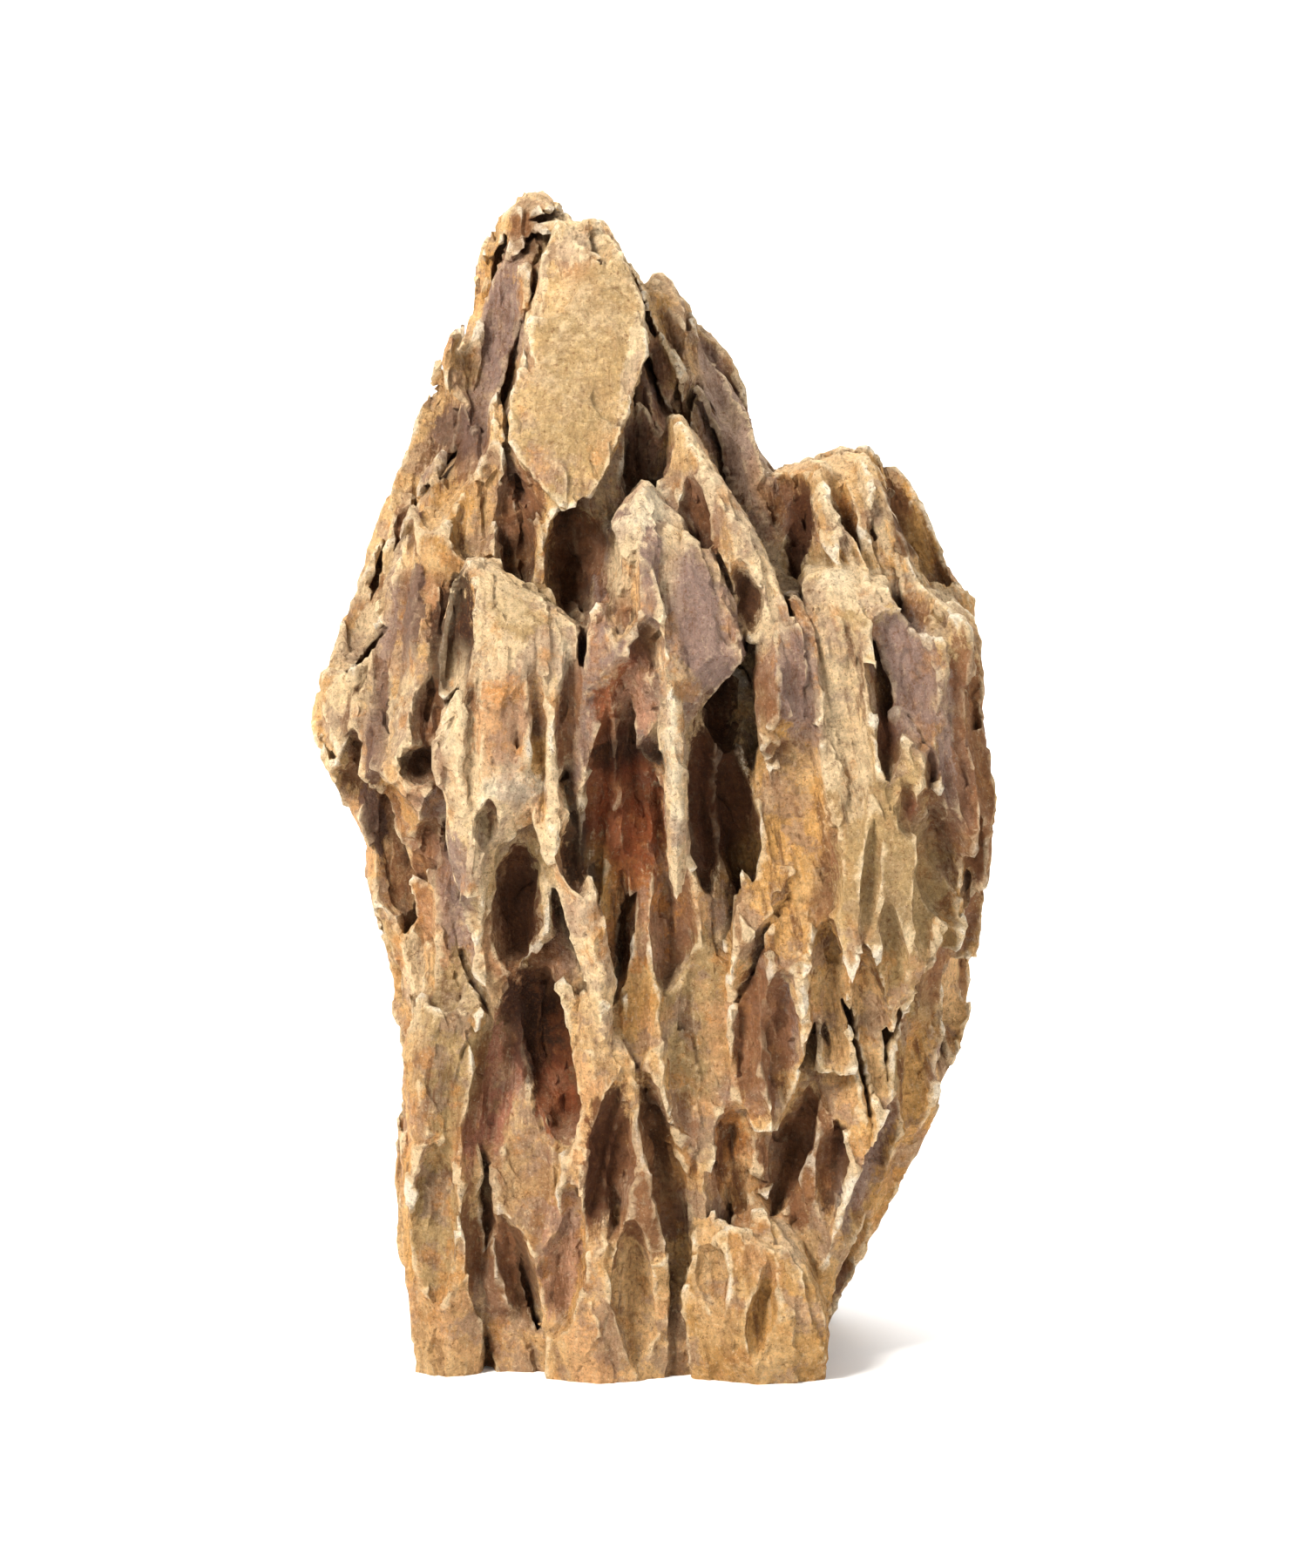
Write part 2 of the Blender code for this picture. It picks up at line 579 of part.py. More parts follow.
def tongue_object(name, tree, azimuth, top, length, width, proud):
    """A slab that follows the body's wall at one azimuth: pointed at the top, fading out at the foot."""
    outward = outward_at(azimuth)
    across = Vector((-outward.y, outward.x, 0))
    rings = []
    for i in range(TONGUE_RINGS):
        t = i / (TONGUE_RINGS - 1)
        height = max(top - length * t, -BASE_DROP)
        spot = tree.ray_cast(axis_at(max(height, 1)) + outward, -outward)[0]
        if spot is None:
            continue
        half = width / 2 * (TONGUE_TIP + (1 - TONGUE_TIP) * half_wave(TONGUE_SWELL, t))
        section = tongue_section(half, proud * half_wave(TONGUE_RISE, t))
        spot = Vector((spot.x, spot.y, height * MM)) / MM
        rings.append([(spot + across * a + outward * b) * MM for a, b in section])
    return stacked_object(name, rings)


def bake_modifiers(body):
    graph = bpy.context.evaluated_depsgraph_get()
    mesh = bpy.data.meshes.new_from_object(body.evaluated_get(graph))
    body.modifiers.clear()
    body.data = mesh


def applied_boolean(body, operation, tools):
    """The body joined with or cut by all the tools at once."""
    group = bpy.data.collections.new(body.name + "_tools")
    bpy.context.scene.collection.children.link(group)
    for tool in tools:
        bpy.context.scene.collection.objects.unlink(tool)
        group.objects.link(tool)
        tool.hide_render = True
        tool.display_type = "WIRE"
    modifier = body.modifiers.new(operation.lower(), "BOOLEAN")
    modifier.operation = operation
    modifier.solver = "EXACT"
    modifier.operand_type = "COLLECTION"
    modifier.collection = group
    bake_modifiers(body)
    for tool in tools:
        bpy.data.objects.remove(tool)
    bpy.data.collections.remove(group)


def surface_tree(body):
    form = bmesh.new()
    form.from_mesh(body.data)
    tree = BVHTree.FromBMesh(form)
    form.free()
    return tree


def axis_at(height):
    """A point on the line that the body grows round, which leans to the left as it rises."""
    return Vector((AXIS_FOOT - height * AXIS_LEAN, 0, height)) * MM


def outward_at(azimuth):
    turn = math.radians(azimuth)
    return Vector((math.cos(turn), math.sin(turn), 0))


def to_summit(spot):
    return (Vector(SUMMIT) * MM - spot).normalized()


def scoop_object(name, spot, inward, upward, width, length, depth, lean, dip):
    """A pointed, slightly bent ellipsoid that leaves a hollow of this size at the spot."""
    least, most = OPENNESS_LIMITS
    openness = min(most, max(least, 1 - OPENNESS_FALL * depth / width))
    reach = depth / (1 - openness)
    spread = 1 / math.sqrt(1 - openness * openness)
    side = inward.cross(upward).normalized()
    up = side.cross(inward).normalized()
    frame = Matrix((side, inward, up)).transposed().to_4x4()
    turn = Matrix.Rotation(math.radians(lean), 4, "Y") @ Matrix.Rotation(math.radians(dip), 4, "X")
    centre = spot - inward * (reach * openness * MM)
    size = Matrix.Diagonal((width / 2 * spread * MM, reach * MM, length / 2 * spread * MM, 1))
    bend = BEND * noise.noise(spot * BEND_SWELLS)
    taper = TAPER * noise.noise(spot * TAPER_SWELLS + NOISE_SHIFT)
    form = bmesh.new()
    bmesh.ops.create_icosphere(form, subdivisions=3 if width * length > BIG_SCOOP else 2, radius=1)
    for vert in form.verts:
        x, y, z = vert.co
        slim = (max(0.0, 1 - z * z) + END_SLIMNESS) ** POINTEDNESS * (1 + taper * z)
        rough = 1 + ROUGHNESS * noise.noise(vert.co * ROUGH_SWELLS + spot * PEBBLE_SWELLS)
        vert.co = Vector((x * slim * rough + bend * (z * z - BEND_MIDDLE), y * slim * rough, z))
    form.transform(Matrix.Translation(centre) @ frame @ turn @ size)
    bmesh.ops.recalc_face_normals(form, faces=form.faces)
    return mesh_object(name, form)


def front_scoops(tree):
    ahead = Vector((0, 1, 0))
    for i, (across, height, width, length, depth, lean, dip) in enumerate(FRONT_SCOOPS):
        spot, normal, _, _ = tree.ray_cast(Vector((across * MM, -1, height * MM)), ahead)
        if spot is None:
            continue
        inward = (ahead * FRONT_AIM - normal * (1 - FRONT_AIM)).normalized()
        yield scoop_object(f"front_{i}", spot, inward, Vector((0, 0, 1)), width, length, depth, lean, dip)


def top_scoops(tree):
    for i, (across, along, width, length, depth) in enumerate(TOP_SCOOPS):
        spot, normal, _, _ = tree.ray_cast(Vector((across * MM, along * MM, 1)), Vector((0, 0, -1)))
        if spot is not None:
            yield scoop_object(f"top_{i}", spot, -normal, to_summit(spot), width, length, depth, 0, 0)


def scoop_at(name, tree, rule, azimuth, height, sizes):
    """A scoop of a size between these limits, in the wall at this azimuth and height."""
    outward = outward_at(azimuth)
    width, length, depth = [rule.uniform(*limits) for limits in sizes]
    lean, dip = rule.uniform(-LEAN_LIMIT, LEAN_LIMIT), rule.uniform(0, DIP_LIMIT)
    spot, normal, _, _ = tree.ray_cast(axis_at(height) + outward, -outward)
    if spot is None:
        return None
    depth *= 1 - EDGE_SPARED * math.exp(-((normal.y / EDGE_SPREAD) ** 2))
    narrow = min(1, NARROW_LEAST + (spot - axis_at(height)).length / (NARROW_RADIUS * MM))
    width *= narrow
    depth *= narrow
    return scoop_object(name, spot, -normal, to_summit(spot), width, length, depth, lean, dip)


def worn_scoops(tree):
    """Broad shallow scoops round the whole body, so that no round wall is left."""
    rule = random.Random(SEED)
    for row in range(WORN_ROWS):
        height = FIRST_ROW + row * WORN_ROW_HEIGHT
        for i in range(WORN_PER_ROW):
            azimuth = (i + 0.5 * (row % 2) + rule.uniform(-WORN_STRAY, WORN_STRAY)) * 360 / WORN_PER_ROW
            level = height + rule.uniform(-WORN_SHIFT, WORN_SHIFT)
            yield scoop_at(f"worn_{row}_{i}", tree, rule, azimuth, level, WORN_SIZES)


def back_scoops(tree):
    """Deeper overlapping scoops over the two sides and the back, then small pits among them."""
    rule = random.Random(SEED + 1)
    pace = BACK_SWEEP / (BACK_PER_ROW - 0.5)
    for row in range(BACK_ROWS):
        height = FIRST_ROW + row * BACK_ROW_HEIGHT
        for i in range(BACK_PER_ROW):
            azimuth = BACK_START + (i + 0.5 * (row % 2) + rule.uniform(-BACK_STRAY, BACK_STRAY)) * pace
            level = height + rule.uniform(-BACK_SHIFT, BACK_SHIFT)
            yield scoop_at(f"back_{row}_{i}", tree, rule, azimuth, level, BACK_SIZES)
    for i in range(PIT_COUNT):
        azimuth = BACK_START + rule.uniform(0, BACK_SWEEP)
        yield scoop_at(f"pit_{i}", tree, rule, azimuth, rule.uniform(*PIT_HEIGHTS), PIT_SIZES)


def keep_largest(form):
    """Removes loose crumbs that the scoops cut free."""
    left = set(form.verts)
    groups = []
    while left:
        stack = [left.pop()]
        group = []
        while stack:
            vert = stack.pop()
            group.append(vert)
            for edge in vert.link_edges:
                other = edge.other_vert(vert)
                if other in left:
                    left.remove(other)
                    stack.append(other)
        groups.append(group)
    groups.sort(key=len)
    for group in groups[:-1]:
        bmesh.ops.delete(form, geom=group, context="VERTS")


def even_out(body):
    """One even skin, without the slivers that many cuts leave."""
    modifier = body.modifiers.new("even", "REMESH")
    modifier.mode = "VOXEL"
    modifier.voxel_size = EVEN_MESH
    bake_modifiers(body)


def thin_out(body):
    """Fewer, larger facets, with the ridges kept."""
    count = sum(len(face.vertices) - 2 for face in body.data.polygons)
    modifier = body.modifiers.new("thin", "DECIMATE")
    modifier.ratio = min(1, TRIANGLE_TARGET / count)
    modifier.use_collapse_triangulate = True
    bake_modifiers(body)


def cut_base(form):
    """Cuts the foot flat at the ground and closes it with one flat face."""
    geometry = list(form.verts) + list(form.edges) + list(form.faces)
    bmesh.ops.bisect_plane(form, geom=geometry, plane_co=(0, 0, 0), plane_no=(0, 0, -1), clear_outer=True)
    rim = [edge for edge in form.edges if edge.is_boundary]
    bmesh.ops.contextual_create(form, geom=rim)
    for vert in form.verts:
        if abs(vert.co.z) < FLAT_TOLERANCE:
            vert.co.z = 0


def centre(form):
    """Puts the middle of the stone's outline, seen from above, over the origin."""
    across = [vert.co.x for vert in form.verts]
    along = [vert.co.y for vert in form.verts]
    shift = Vector(((min(across) + max(across)) / 2, (min(along) + max(along)) / 2, 0))
    bmesh.ops.translate(form, verts=form.verts, vec=-shift)


def build_stone():
    stone = mass_object("dragon_stone", SPIRE)
    applied_boolean(stone, "UNION", [mass_object("fin", BACK_FIN), mass_object("shoulder", SHOULDER)])
    worn = [scoop for scoop in worn_scoops(surface_tree(stone)) if scoop]
    applied_boolean(stone, "DIFFERENCE", worn)
    tree = surface_tree(stone)
    slabs = [slab_object(f"slab_{i}", slab) for i, slab in enumerate(FRONT_SLABS)]
    slabs += [tongue_object(f"tongue_{i}", tree, *tongue) for i, tongue in enumerate(BACK_TONGUES)]
    applied_boolean(stone, "UNION", slabs)
    tree = surface_tree(stone)
    scoops = [scoop for scoop in (*front_scoops(tree), *top_scoops(tree), *back_scoops(tree)) if scoop]
    applied_boolean(stone, "DIFFERENCE", scoops)
    even_out(stone)
    form = bmesh.new()
    form.from_mesh(stone.data)
    keep_largest(form)
    form.to_mesh(stone.data)
    form.free()
    thin_out(stone)
    form = bmesh.new()
    form.from_mesh(stone.data)
    cut_base(form)
    keep_largest(form)
    bmesh.ops.triangulate(form, faces=form.faces)
    centre(form)
    form.to_mesh(stone.data)
    form.free()
    stone.data.materials.clear()
    stone.data.materials.append(stone_material())
    return stone


clear_scene()
build_stone()
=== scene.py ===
import math
import random

import bpy
import numpy as np
from mathutils import Matrix, Vector, noise
from mathutils.bvhtree import BVHTree
from mathutils.kdtree import KDTree


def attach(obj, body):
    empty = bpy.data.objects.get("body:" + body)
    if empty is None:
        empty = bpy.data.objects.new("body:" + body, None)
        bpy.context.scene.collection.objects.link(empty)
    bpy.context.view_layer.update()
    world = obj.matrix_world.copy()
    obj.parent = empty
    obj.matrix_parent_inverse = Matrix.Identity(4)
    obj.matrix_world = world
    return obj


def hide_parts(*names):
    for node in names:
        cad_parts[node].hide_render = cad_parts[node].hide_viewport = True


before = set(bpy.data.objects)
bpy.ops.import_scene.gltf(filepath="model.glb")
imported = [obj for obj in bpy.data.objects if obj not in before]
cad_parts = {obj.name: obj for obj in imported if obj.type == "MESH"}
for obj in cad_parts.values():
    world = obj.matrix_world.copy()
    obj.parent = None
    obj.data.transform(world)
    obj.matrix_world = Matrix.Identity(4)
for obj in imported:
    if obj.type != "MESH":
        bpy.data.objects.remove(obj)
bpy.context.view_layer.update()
print("frame loaded")

# lengths are in mm and angles in degrees, unless a note says otherwise
stone = {
    "seed": 17,
    "mm": 0.001,
    "moved": (-0.018, 1.521, 0),  # puts the stone over the origin
    "summit": (-14.0, 6.0, 330.0),  # the flutes run towards this point
    "axis": (4, 0.09),  # the line that the body grows round: its foot, and its lean to the left
    "rayStart": 1000,
    "ringPoints": 32,
    "stationStep": 5,
    "sectionPower": 2.5,
    "wobbleSize": 21,
    "wobbleDepth": 1.1,
    "slabBelly": 0.4,  # share of its fall that a slab's face has halfway to its side
    "tongueRings": 9,
    "tongueFoot": -6,
    # the line across a tongue: share of its half width, and of how proud it is
    "tongueLine": ((1, 0.25), (0.45, 0.8), (-0.15, 1), (-0.62, 0.7), (-1, 0.1)),
    "tongueRoot": -9,  # how deep in the body its sides end
    "pebbleSplits": (4, 2),  # roundness of the scoops, and of the small flake scars
    "scoopOpen": (0.16, 0.82),  # how far out of the stone the middle of a deep and of a shallow scoop lies
    "scoopBend": 0.30,
    "scoopTaper": 0.45,
    "scoopSwell": 0.22,
    "scoopRough": 0.05,
    "scoopAim": 0.6,  # how straight back a front scoop goes in; the rest follows the wall
    "scoopLean": 10,
    "scoopDip": 12,
    "scoopNarrow": (0.45, 70),  # a scoop's share of its width at the axis, and the way out that adds 1 to it
    "edgeSpared": 0.66,  # how much shallower scoops are at the two side edges, and how far round that goes
    "edgeSpread": 0.34,
    # rows of scoops: start and sweep round the body, how many fit in the sweep, how far one strays from
    # its place in the row and in height, limits of width, length and depth, how often it takes each tone
    "firstRow": 10,
    "wornRows": {
        "rows": 7, "rise": 29, "perRow": 15, "start": 0, "sweep": 360, "fit": 15, "stray": (0.2, 7),
        "sizes": ((13, 19), (46, 72), (2.6, 5)),
        "tones": {"ochre": 0.3, "tan": 0.25, "khaki": 0.15, "brown": 0.2, "mauve": 0.1},
    },
    "backRows": {
        "rows": 9, "rise": 21, "perRow": 13, "start": -34, "sweep": 248, "fit": 12.5, "stray": (0.25, 6),
        "sizes": ((8, 13.5), (26, 50), (4, 9.5)),
        "tones": {
            "brown": 0.26, "dark": 0.12, "ochre": 0.2, "mauve": 0.14,
            "rust": 0.08, "tan": 0.12, "khaki": 0.08,
        },
    },
    "pits": {
        "count": 54, "heights": (8, 190), "start": -34, "sweep": 248,
        "sizes": ((4, 7), (9, 20), (3.5, 7)),
        "tones": {"dark": 0.5, "rust": 0.2, "brown": 0.3},
    },
    "massTones": {"spire": "tan", "backFin": "mauve", "shoulder": "ochre"},
    # height, left, right, front, back of each ring
    "masses": {
        "spire": (
            (204.6, -23.2, -19.4, -2, 6), (201.5, -27, -16, -6, 10), (197.4, -29.5, -9, -9, 13),
            (193.5, -31.2, -5, -12, 15), (187.5, -35.2, -1, -15, 18), (180, -37.8, 2, -18, 21),
            (168, -40.6, 6, -23, 25), (156, -45, 11, -28, 29), (144, -49.8, 18, -32, 32),
            (132, -54.2, 24, -36, 35), (120, -58.8, 28, -39, 37), (111, -60.2, 31, -40, 38),
            (103, -56.6, 33, -41, 39), (90, -50.6, 34, -41, 40), (78, -50.2, 34, -41, 40),
            (69, -48.6, 34, -41, 40), (60, -44.8, 33, -40, 39), (49, -46.6, 32, -40, 38),
            (30, -47.4, 31, -38, 36), (12, -46.4, 30, -37, 34), (-6, -45, 28, -35, 32),
        ),
        "backFin": (
            (189.2, 0, 2.4, 5, 11), (186.8, -2, 4, 2, 16), (180, -4, 10.6, -3, 22),
            (172.5, -5, 15.2, -7, 27), (160.5, -5, 18.4, -12, 31), (146, 0, 28, -20, 35),
            (130, 0, 37, -28, 38), (110, 0, 42, -33, 41), (80, 0, 45, -35, 42), (40, 0, 36, -34, 38),
            (-6, 0, 26, -28, 30),
        ),
        "shoulder": (
            (160.2, 35, 41, -9, 5), (158.2, 28, 42.6, -14, 12), (155, 20, 44.4, -18, 18),
            (152.4, 18, 46.2, -20, 22), (142.5, 16, 50.6, -24, 28), (137, 16, 52.4, -27, 30),
            (132.6, 16, 56.4, -29, 31), (111, 16, 57.2, -34, 33), (99.6, 16, 59.2, -36, 34),
            (78, 16, 58.6, -37, 34), (60, 14, 56.6, -36, 33), (45, 12, 51.6, -36, 32),
            (30, 10, 45.6, -35, 31), (15, 8, 37.8, -35, 30), (-6, 6, 31, -33, 28),
        ),
    },
    # tone, place of the ridge, fall to the left and right; rings of height, left, right, outer, inner
    "slabs": (
        ("khaki", 0.5, 0.6, 1.4, (  # tan slab
            (200.5, -16.5, -10, -11, 2), (194, -19, -5.6, -15.5, 2), (187, -20.6, -2.4, -19.5, 0),
            (178, -22, -1.4, -24.5, -2), (169, -24.2, -4.2, -29.5, -6), (162.5, -24.6, -6.4, -33, -10),
            (157.6, -21.2, -8.2, -35, -15), (154.4, -18.4, -10.2, -36, -18), (151, -14.6, -12, -37, -22),
        )),
        ("tan", 0.5, 1.5, 1.5, (  # upper block
            (184, -33, -31, -14, 0), (180, -35.6, -29.6, -17.5, 0), (174, -37, -29.2, -21.5, -2),
            (169.6, -37.4, -30.2, -24, -4), (168, -36, -32, -24, -6),
        )),
        ("tan", 0.5, 2, 2, (  # lower block
            (160.5, -39.5, -36, -20.5, -4), (152, -42.8, -31.5, -24.5, -4),
            (145.5, -43.8, -29.4, -27.5, -4), (141, -41, -30, -28.5, -6), (138, -37, -32.4, -28.5, -8),
        )),
        ("mauve", 0.34, 4.5, 6.5, (  # flame
            (155.6, -1.8, -0.4, -36, -27), (151.5, -5.4, 2.6, -40, -27), (145, -8.4, 9, -43.5, -26),
            (135, -9.6, 13.4, -46.5, -24), (127, -11, 15.4, -48, -24), (119, -13, 9, -47, -24),
            (108, -14.6, 1, -44, -24), (95, -15, -8, -40, -24),
        )),
        ("tan", 0.8, 6, 2, (  # second flame
            (166, 3, 5, -26, -14), (161, 1, 8.6, -31, -14), (154, 0.4, 12.8, -35, -16),
            (147, 2, 17, -38, -18), (140, 5, 20.6, -40, -20), (135, 9, 22.6, -40.5, -22),
            (129, 13, 22, -40, -24),
        )),
        ("cream", 0.3, 3, 4, (  # cream slab
            (142, -31.6, -28, -39, -22), (136.5, -34.2, -19.4, -43, -22), (131.5, -35.6, -12.8, -45.5, -22),
            (120, -37.4, -13, -47.5, -22), (107, -36.6, -15, -47.5, -22), (101, -34.6, -17.4, -46.5, -22),
            (94, -34.8, -26.6, -44, -22), (80, -33.4, -28.4, -38.5, -22),
        )),
        ("brown", 0.3, 4, 3, (  # panel tip
            (136.2, 22.4, 24.4, -37, -20), (131, 18.4, 27, -41, -20), (122, 17.4, 29.4, -44, -20),
            (112, 18, 31, -45, -20), (105, 20, 31, -43.5, -22), (99, 23, 30, -41, -24),
        )),
        ("khaki", 0.24, 3, 7, (  # right column
            (140.4, 27, 36, -32, -10), (137.6, 25.4, 46, -36, -12), (131, 26.4, 53.6, -39, -14),
            (110, 29, 55.6, -42, -16), (94, 29.4, 56, -43.5, -16), (76, 28.6, 53.4, -42, -16),
            (54, 28, 46, -37, -10),
        )),
        ("ochre", 0.62, 3, 2, (  # ochre panel
            (110, 18, 27, -36, -14), (98, 16, 30.4, -41, -14), (84, 14, 30.4, -42.5, -14),
            (62, 13, 27, -41, -14), (44, 15, 22, -37, -14),
        )),
        ("cream", 0.6, 3, 3, (  # left pleat
            (150, -43, -40, -19, 4), (134, -47.6, -40.4, -25, 4), (116, -50.4, -41, -31, 4),
            (102, -49, -41.6, -31, 4), (92, -46, -42, -29, 4),
        )),
        ("tan", 0.5, 3, 3, (  # left pleat, low
            (92, -50, -45.4, -13, 10), (84, -50.4, -43, -18, 10), (76, -48.8, -41, -20, 10),
            (66, -46.8, -39, -20, 10), (54, -45.2, -38, -19, 10), (42, -43.6, -39.4, -15, 10),
        )),
        ("tan", 0.5, 3, 3, (  # left lobe
            (144, -48.5, -46.4, -12, 6), (131, -54, -48.6, -18, 6), (119, -58.4, -52, -22, 6),
            (108, -58.8, -51, -23, 6), (98, -54.4, -49.6, -22, 6),
        )),
        ("tan", 0.5, 2, 2, (  # second peak
            (190.2, 0.2, 2.8, 3, 13), (187, -2.4, 4.2, -1, 17), (180, -4, 10.4, -5, 22),
            (172.5, -5, 15.2, -9, 26), (161, -4, 18.2, -13, 28), (148, 0, 22, -18, 28),
        )),
        ("tan", 0.5, 1.5, 1.5, (  # shoulder rib
            (158, 27.4, 29.8, -19, 0), (152, 27.8, 31.4, -24.5, 0), (145, 29.6, 34.8, -29, -6),
            (139, 32.6, 37.2, -32, -10),
        )),
        ("tan", 0.5, 1.5, 1.5, (  # outer rib
            (159, 35.2, 37.6, -17, 0), (152, 36.8, 40.2, -23, 0), (144, 39.8, 43.8, -28, -6),
            (138.5, 42, 45.4, -31, -10),
        )),
        ("tan", 0.35, 3, 4, (  # far right
            (134.8, 50, 55.2, -22, -6), (128, 49, 56.4, -28, -8), (114, 50, 57, -33, -8),
            (100, 52, 59, -33.5, -8), (84, 53, 58.2, -30, -8), (72, 52.5, 56.6, -24, -8),
        )),
        ("cream", 0.5, 1.5, 1.5, (  # middle rib
            (128, 1.2, 3, -46, -28), (118, 1.2, 4.6, -48, -28), (106, 2, 5.6, -48, -28),
            (95, 2.8, 5.6, -46.5, -28), (85, 3.4, 4.8, -43.5, -28),
        )),
        ("cream", 0.4, 2, 2, (  # left pillar
            (103, -31, -28, -44, -24), (96, -32, -28.6, -45, -24), (84, -33.2, -29.2, -44.5, -24),
            (72, -32.8, -29, -43, -24), (61, -31, -29, -40, -24),
        )),
        ("cream", 0.5, 2, 2, (  # leaning pillar
            (107, -21.5, -16.5, -45, -26), (98, -19.8, -13.8, -46.5, -26), (89, -16.8, -10.8, -46.5, -26),
            (80, -13.8, -8.2, -46, -26), (71, -11.6, -6.6, -45, -26), (61, -10.4, -7, -42, -26),
        )),
        ("tan", 0.4, 3, 3.6, (  # low tongue
            (70, -13, -10, -40, -18), (56, -14.4, -4, -44, -18), (36, -16, 1, -44, -18),
            (14, -18, 3, -41, -18), (-6, -18, 3, -38, -18),
        )),
        ("tan", 0.5, 4, 3, (  # low left
            (74, -40, -36, -32, -14), (56, -43, -32, -38, -16), (30, -44, -30, -38.5, -16),
            (-6, -41, -30, -35, -16),
        )),
        ("ochre", 0.5, 4, 4, (  # foot
            (31, 10, 17, -37, -18), (24, 6, 25, -41, -18), (13, 5, 29.4, -43.5, -18),
            (4, 6, 30.4, -42, -18), (-6, 8, 28, -38, -18),
        )),
    ),
    # azimuth, top, length, width, how proud
    "tongues": (
        (100, 176, 62, 17, 4), (66, 150, 70, 20, 5), (124, 138, 74, 21, 5.5), (92, 108, 70, 19, 5),
        (150, 112, 60, 17, 4), (48, 96, 66, 19, 4.5), (118, 66, 58, 20, 5), (76, 52, 48, 18, 4.5),
        (160, 60, 50, 16, 3.5), (28, 58, 50, 15, 3), (12, 124, 52, 15, 2.6), (172, 168, 40, 12, 2.4),
    ),
    # across, height, width, length, depth, lean, dip, tone
    "frontScoops": (
        # crown and the two sides of the tan slab
        (-20.4, 193, 2.6, 22, 1.6, 0, 0, "brown"), (-24.8, 172, 5.4, 40, 2.6, -4, 0, "mauve"),
        (-27.5, 183, 10.6, 36, 2.7, 4, 0, "mauve"), (-22.6, 199.5, 7.9, 11, 2, -10, 0, "ochre"),
        (-34.8, 163, 12.5, 30, 3.3, 6, 0, "brown"), (-33, 187, 7.9, 24, 2, 14, 0, "ochre"),
        (0.6, 174.5, 5.4, 26, 3, -18, 0, "pink"), (-1.6, 161.5, 8.6, 33, 6.2, 8, 0, "pink"),
        (3.9, 169, 2.8, 8, 2, -6, 0, "brown"), (3, 181.5, 4.3, 20, 2.8, -22, 0, "ochre"),
        (12.4, 166, 10.6, 46, 2.9, -17, 0, "mauve"), (-11, 199, 7.9, 10, 1.6, -30, 0, "cream"),
        # hollows under the tan slab and beside it
        (-12.6, 141.5, 12.6, 23, 10.3, 0, 14, "dark"), (-12.4, 147, 9.4, 15, 7.7, 0, 22, "dark"),
        (-24, 148, 8, 29, 5.8, -5, 8, "brown"), (-34.8, 130, 9.8, 33, 8, 10, 8, "dark"),
        (-38.6, 116.4, 5.8, 18, 4.2, 5, 0, "orange"), (-39.6, 106.5, 9.7, 9, 7.3, 0, 12, "dark"),
        (-29.5, 155, 7.9, 24, 2.4, 8, 0, "tan"),
        # left flank
        (-43.4, 149.4, 3.2, 17, 2.3, 6, 0, "dark"), (-47.2, 126, 5, 41, 3.6, 9, 0, "mauve"),
        (-43, 138, 3.7, 26, 2.7, 6, 0, "brown"), (-54, 114, 11.9, 36, 3.1, 10, 0, "khaki"),
        (-49.4, 114, 5, 26, 3.6, 8, 0, "brown"), (-46.5, 95.5, 13.9, 23, 5, -15, 0, "ochre"),
        (-39.4, 90.5, 8, 17, 5.8, 12, 8, "brown"), (-34.6, 84.5, 12.5, 36, 3.5, 3, 0, "mauve"),
        (-46.4, 75, 5, 31, 2, -10, 0, "brown"), (-33.2, 66.6, 8.6, 6, 5.9, 0, 20, "dark"),
        (-41.6, 68, 4.3, 21, 2, -6, 0, "tan"),
        # middle, left of the rust channel
        (-28.2, 98, 4.8, 11, 3.5, 0, 6, "brown"), (-23.4, 84, 9.2, 27, 7.6, 3, 8, "brown"),
        (-18.4, 73.5, 6.8, 12, 4.7, 4, 6, "brown"), (-19, 60, 13, 33, 11, -12, 12, "dark"),
        (-17, 52, 9.4, 25, 10.5, -13, 6, "rust"), (-34, 55, 15.2, 45, 2.9, 3, 0, "khaki"),
        (-27.4, 49, 9.9, 36, 3.1, 12, 0, "rose"), (-8.4, 40, 6.2, 34, 5, 10, 6, "dark"),
        (-5.8, 38, 5.8, 30, 5, 6, 4, "brown"), (1.4, 38, 7, 41, 5, -12, 0, "ochre"),
        (-14.8, 78, 5.4, 23, 3, -10, 0, "rose"), (-12.8, 94, 6.6, 16, 5.4, 0, 10, "dark"),
        (-30.6, 108, 3.9, 38, 2, 2, 0, "cream"), (-19.4, 112, 4.1, 34, 2.6, -4, 0, "ochre"),
        (-14.4, 119, 4.3, 34, 3.1, 4, 0, "brown"), (-38.6, 113, 4.2, 40, 3, 4, 0, "orange"),
        (-22.4, 118, 6.6, 22, 1.4, 10, 0, "khaki"),
        # rust channel, under the flame
        (-4.9, 119, 14, 24, 5.5, 4, 8, "rust"), (-1.2, 128.4, 6.9, 15, 3.6, 16, 10, "dark"),
        (-9, 100, 6.4, 40, 4.6, 2, 4, "rust"), (-3.2, 98, 6.8, 46, 6, -2, 6, "wine"),
        (1.4, 93, 5, 36, 4, -6, 4, "orange"), (-6.8, 82, 6, 28, 4, 3, 0, "orange"),
        (-5.2, 138, 6.7, 18, 3.6, 6, 0, "tan"), (5.6, 137, 9.2, 38, 2, -8, 0, "mauve"),
        # dark hollows right of the middle
        (8.8, 103, 7.6, 38, 6, -2, 6, "dark"), (14.2, 98, 7.8, 34, 6.6, -8, 5, "brown"),
        (3.4, 80.5, 8.6, 29, 6.2, 0, 4, "brown"), (12.4, 117.6, 9.3, 18, 7.6, 0, 10, "dark"),
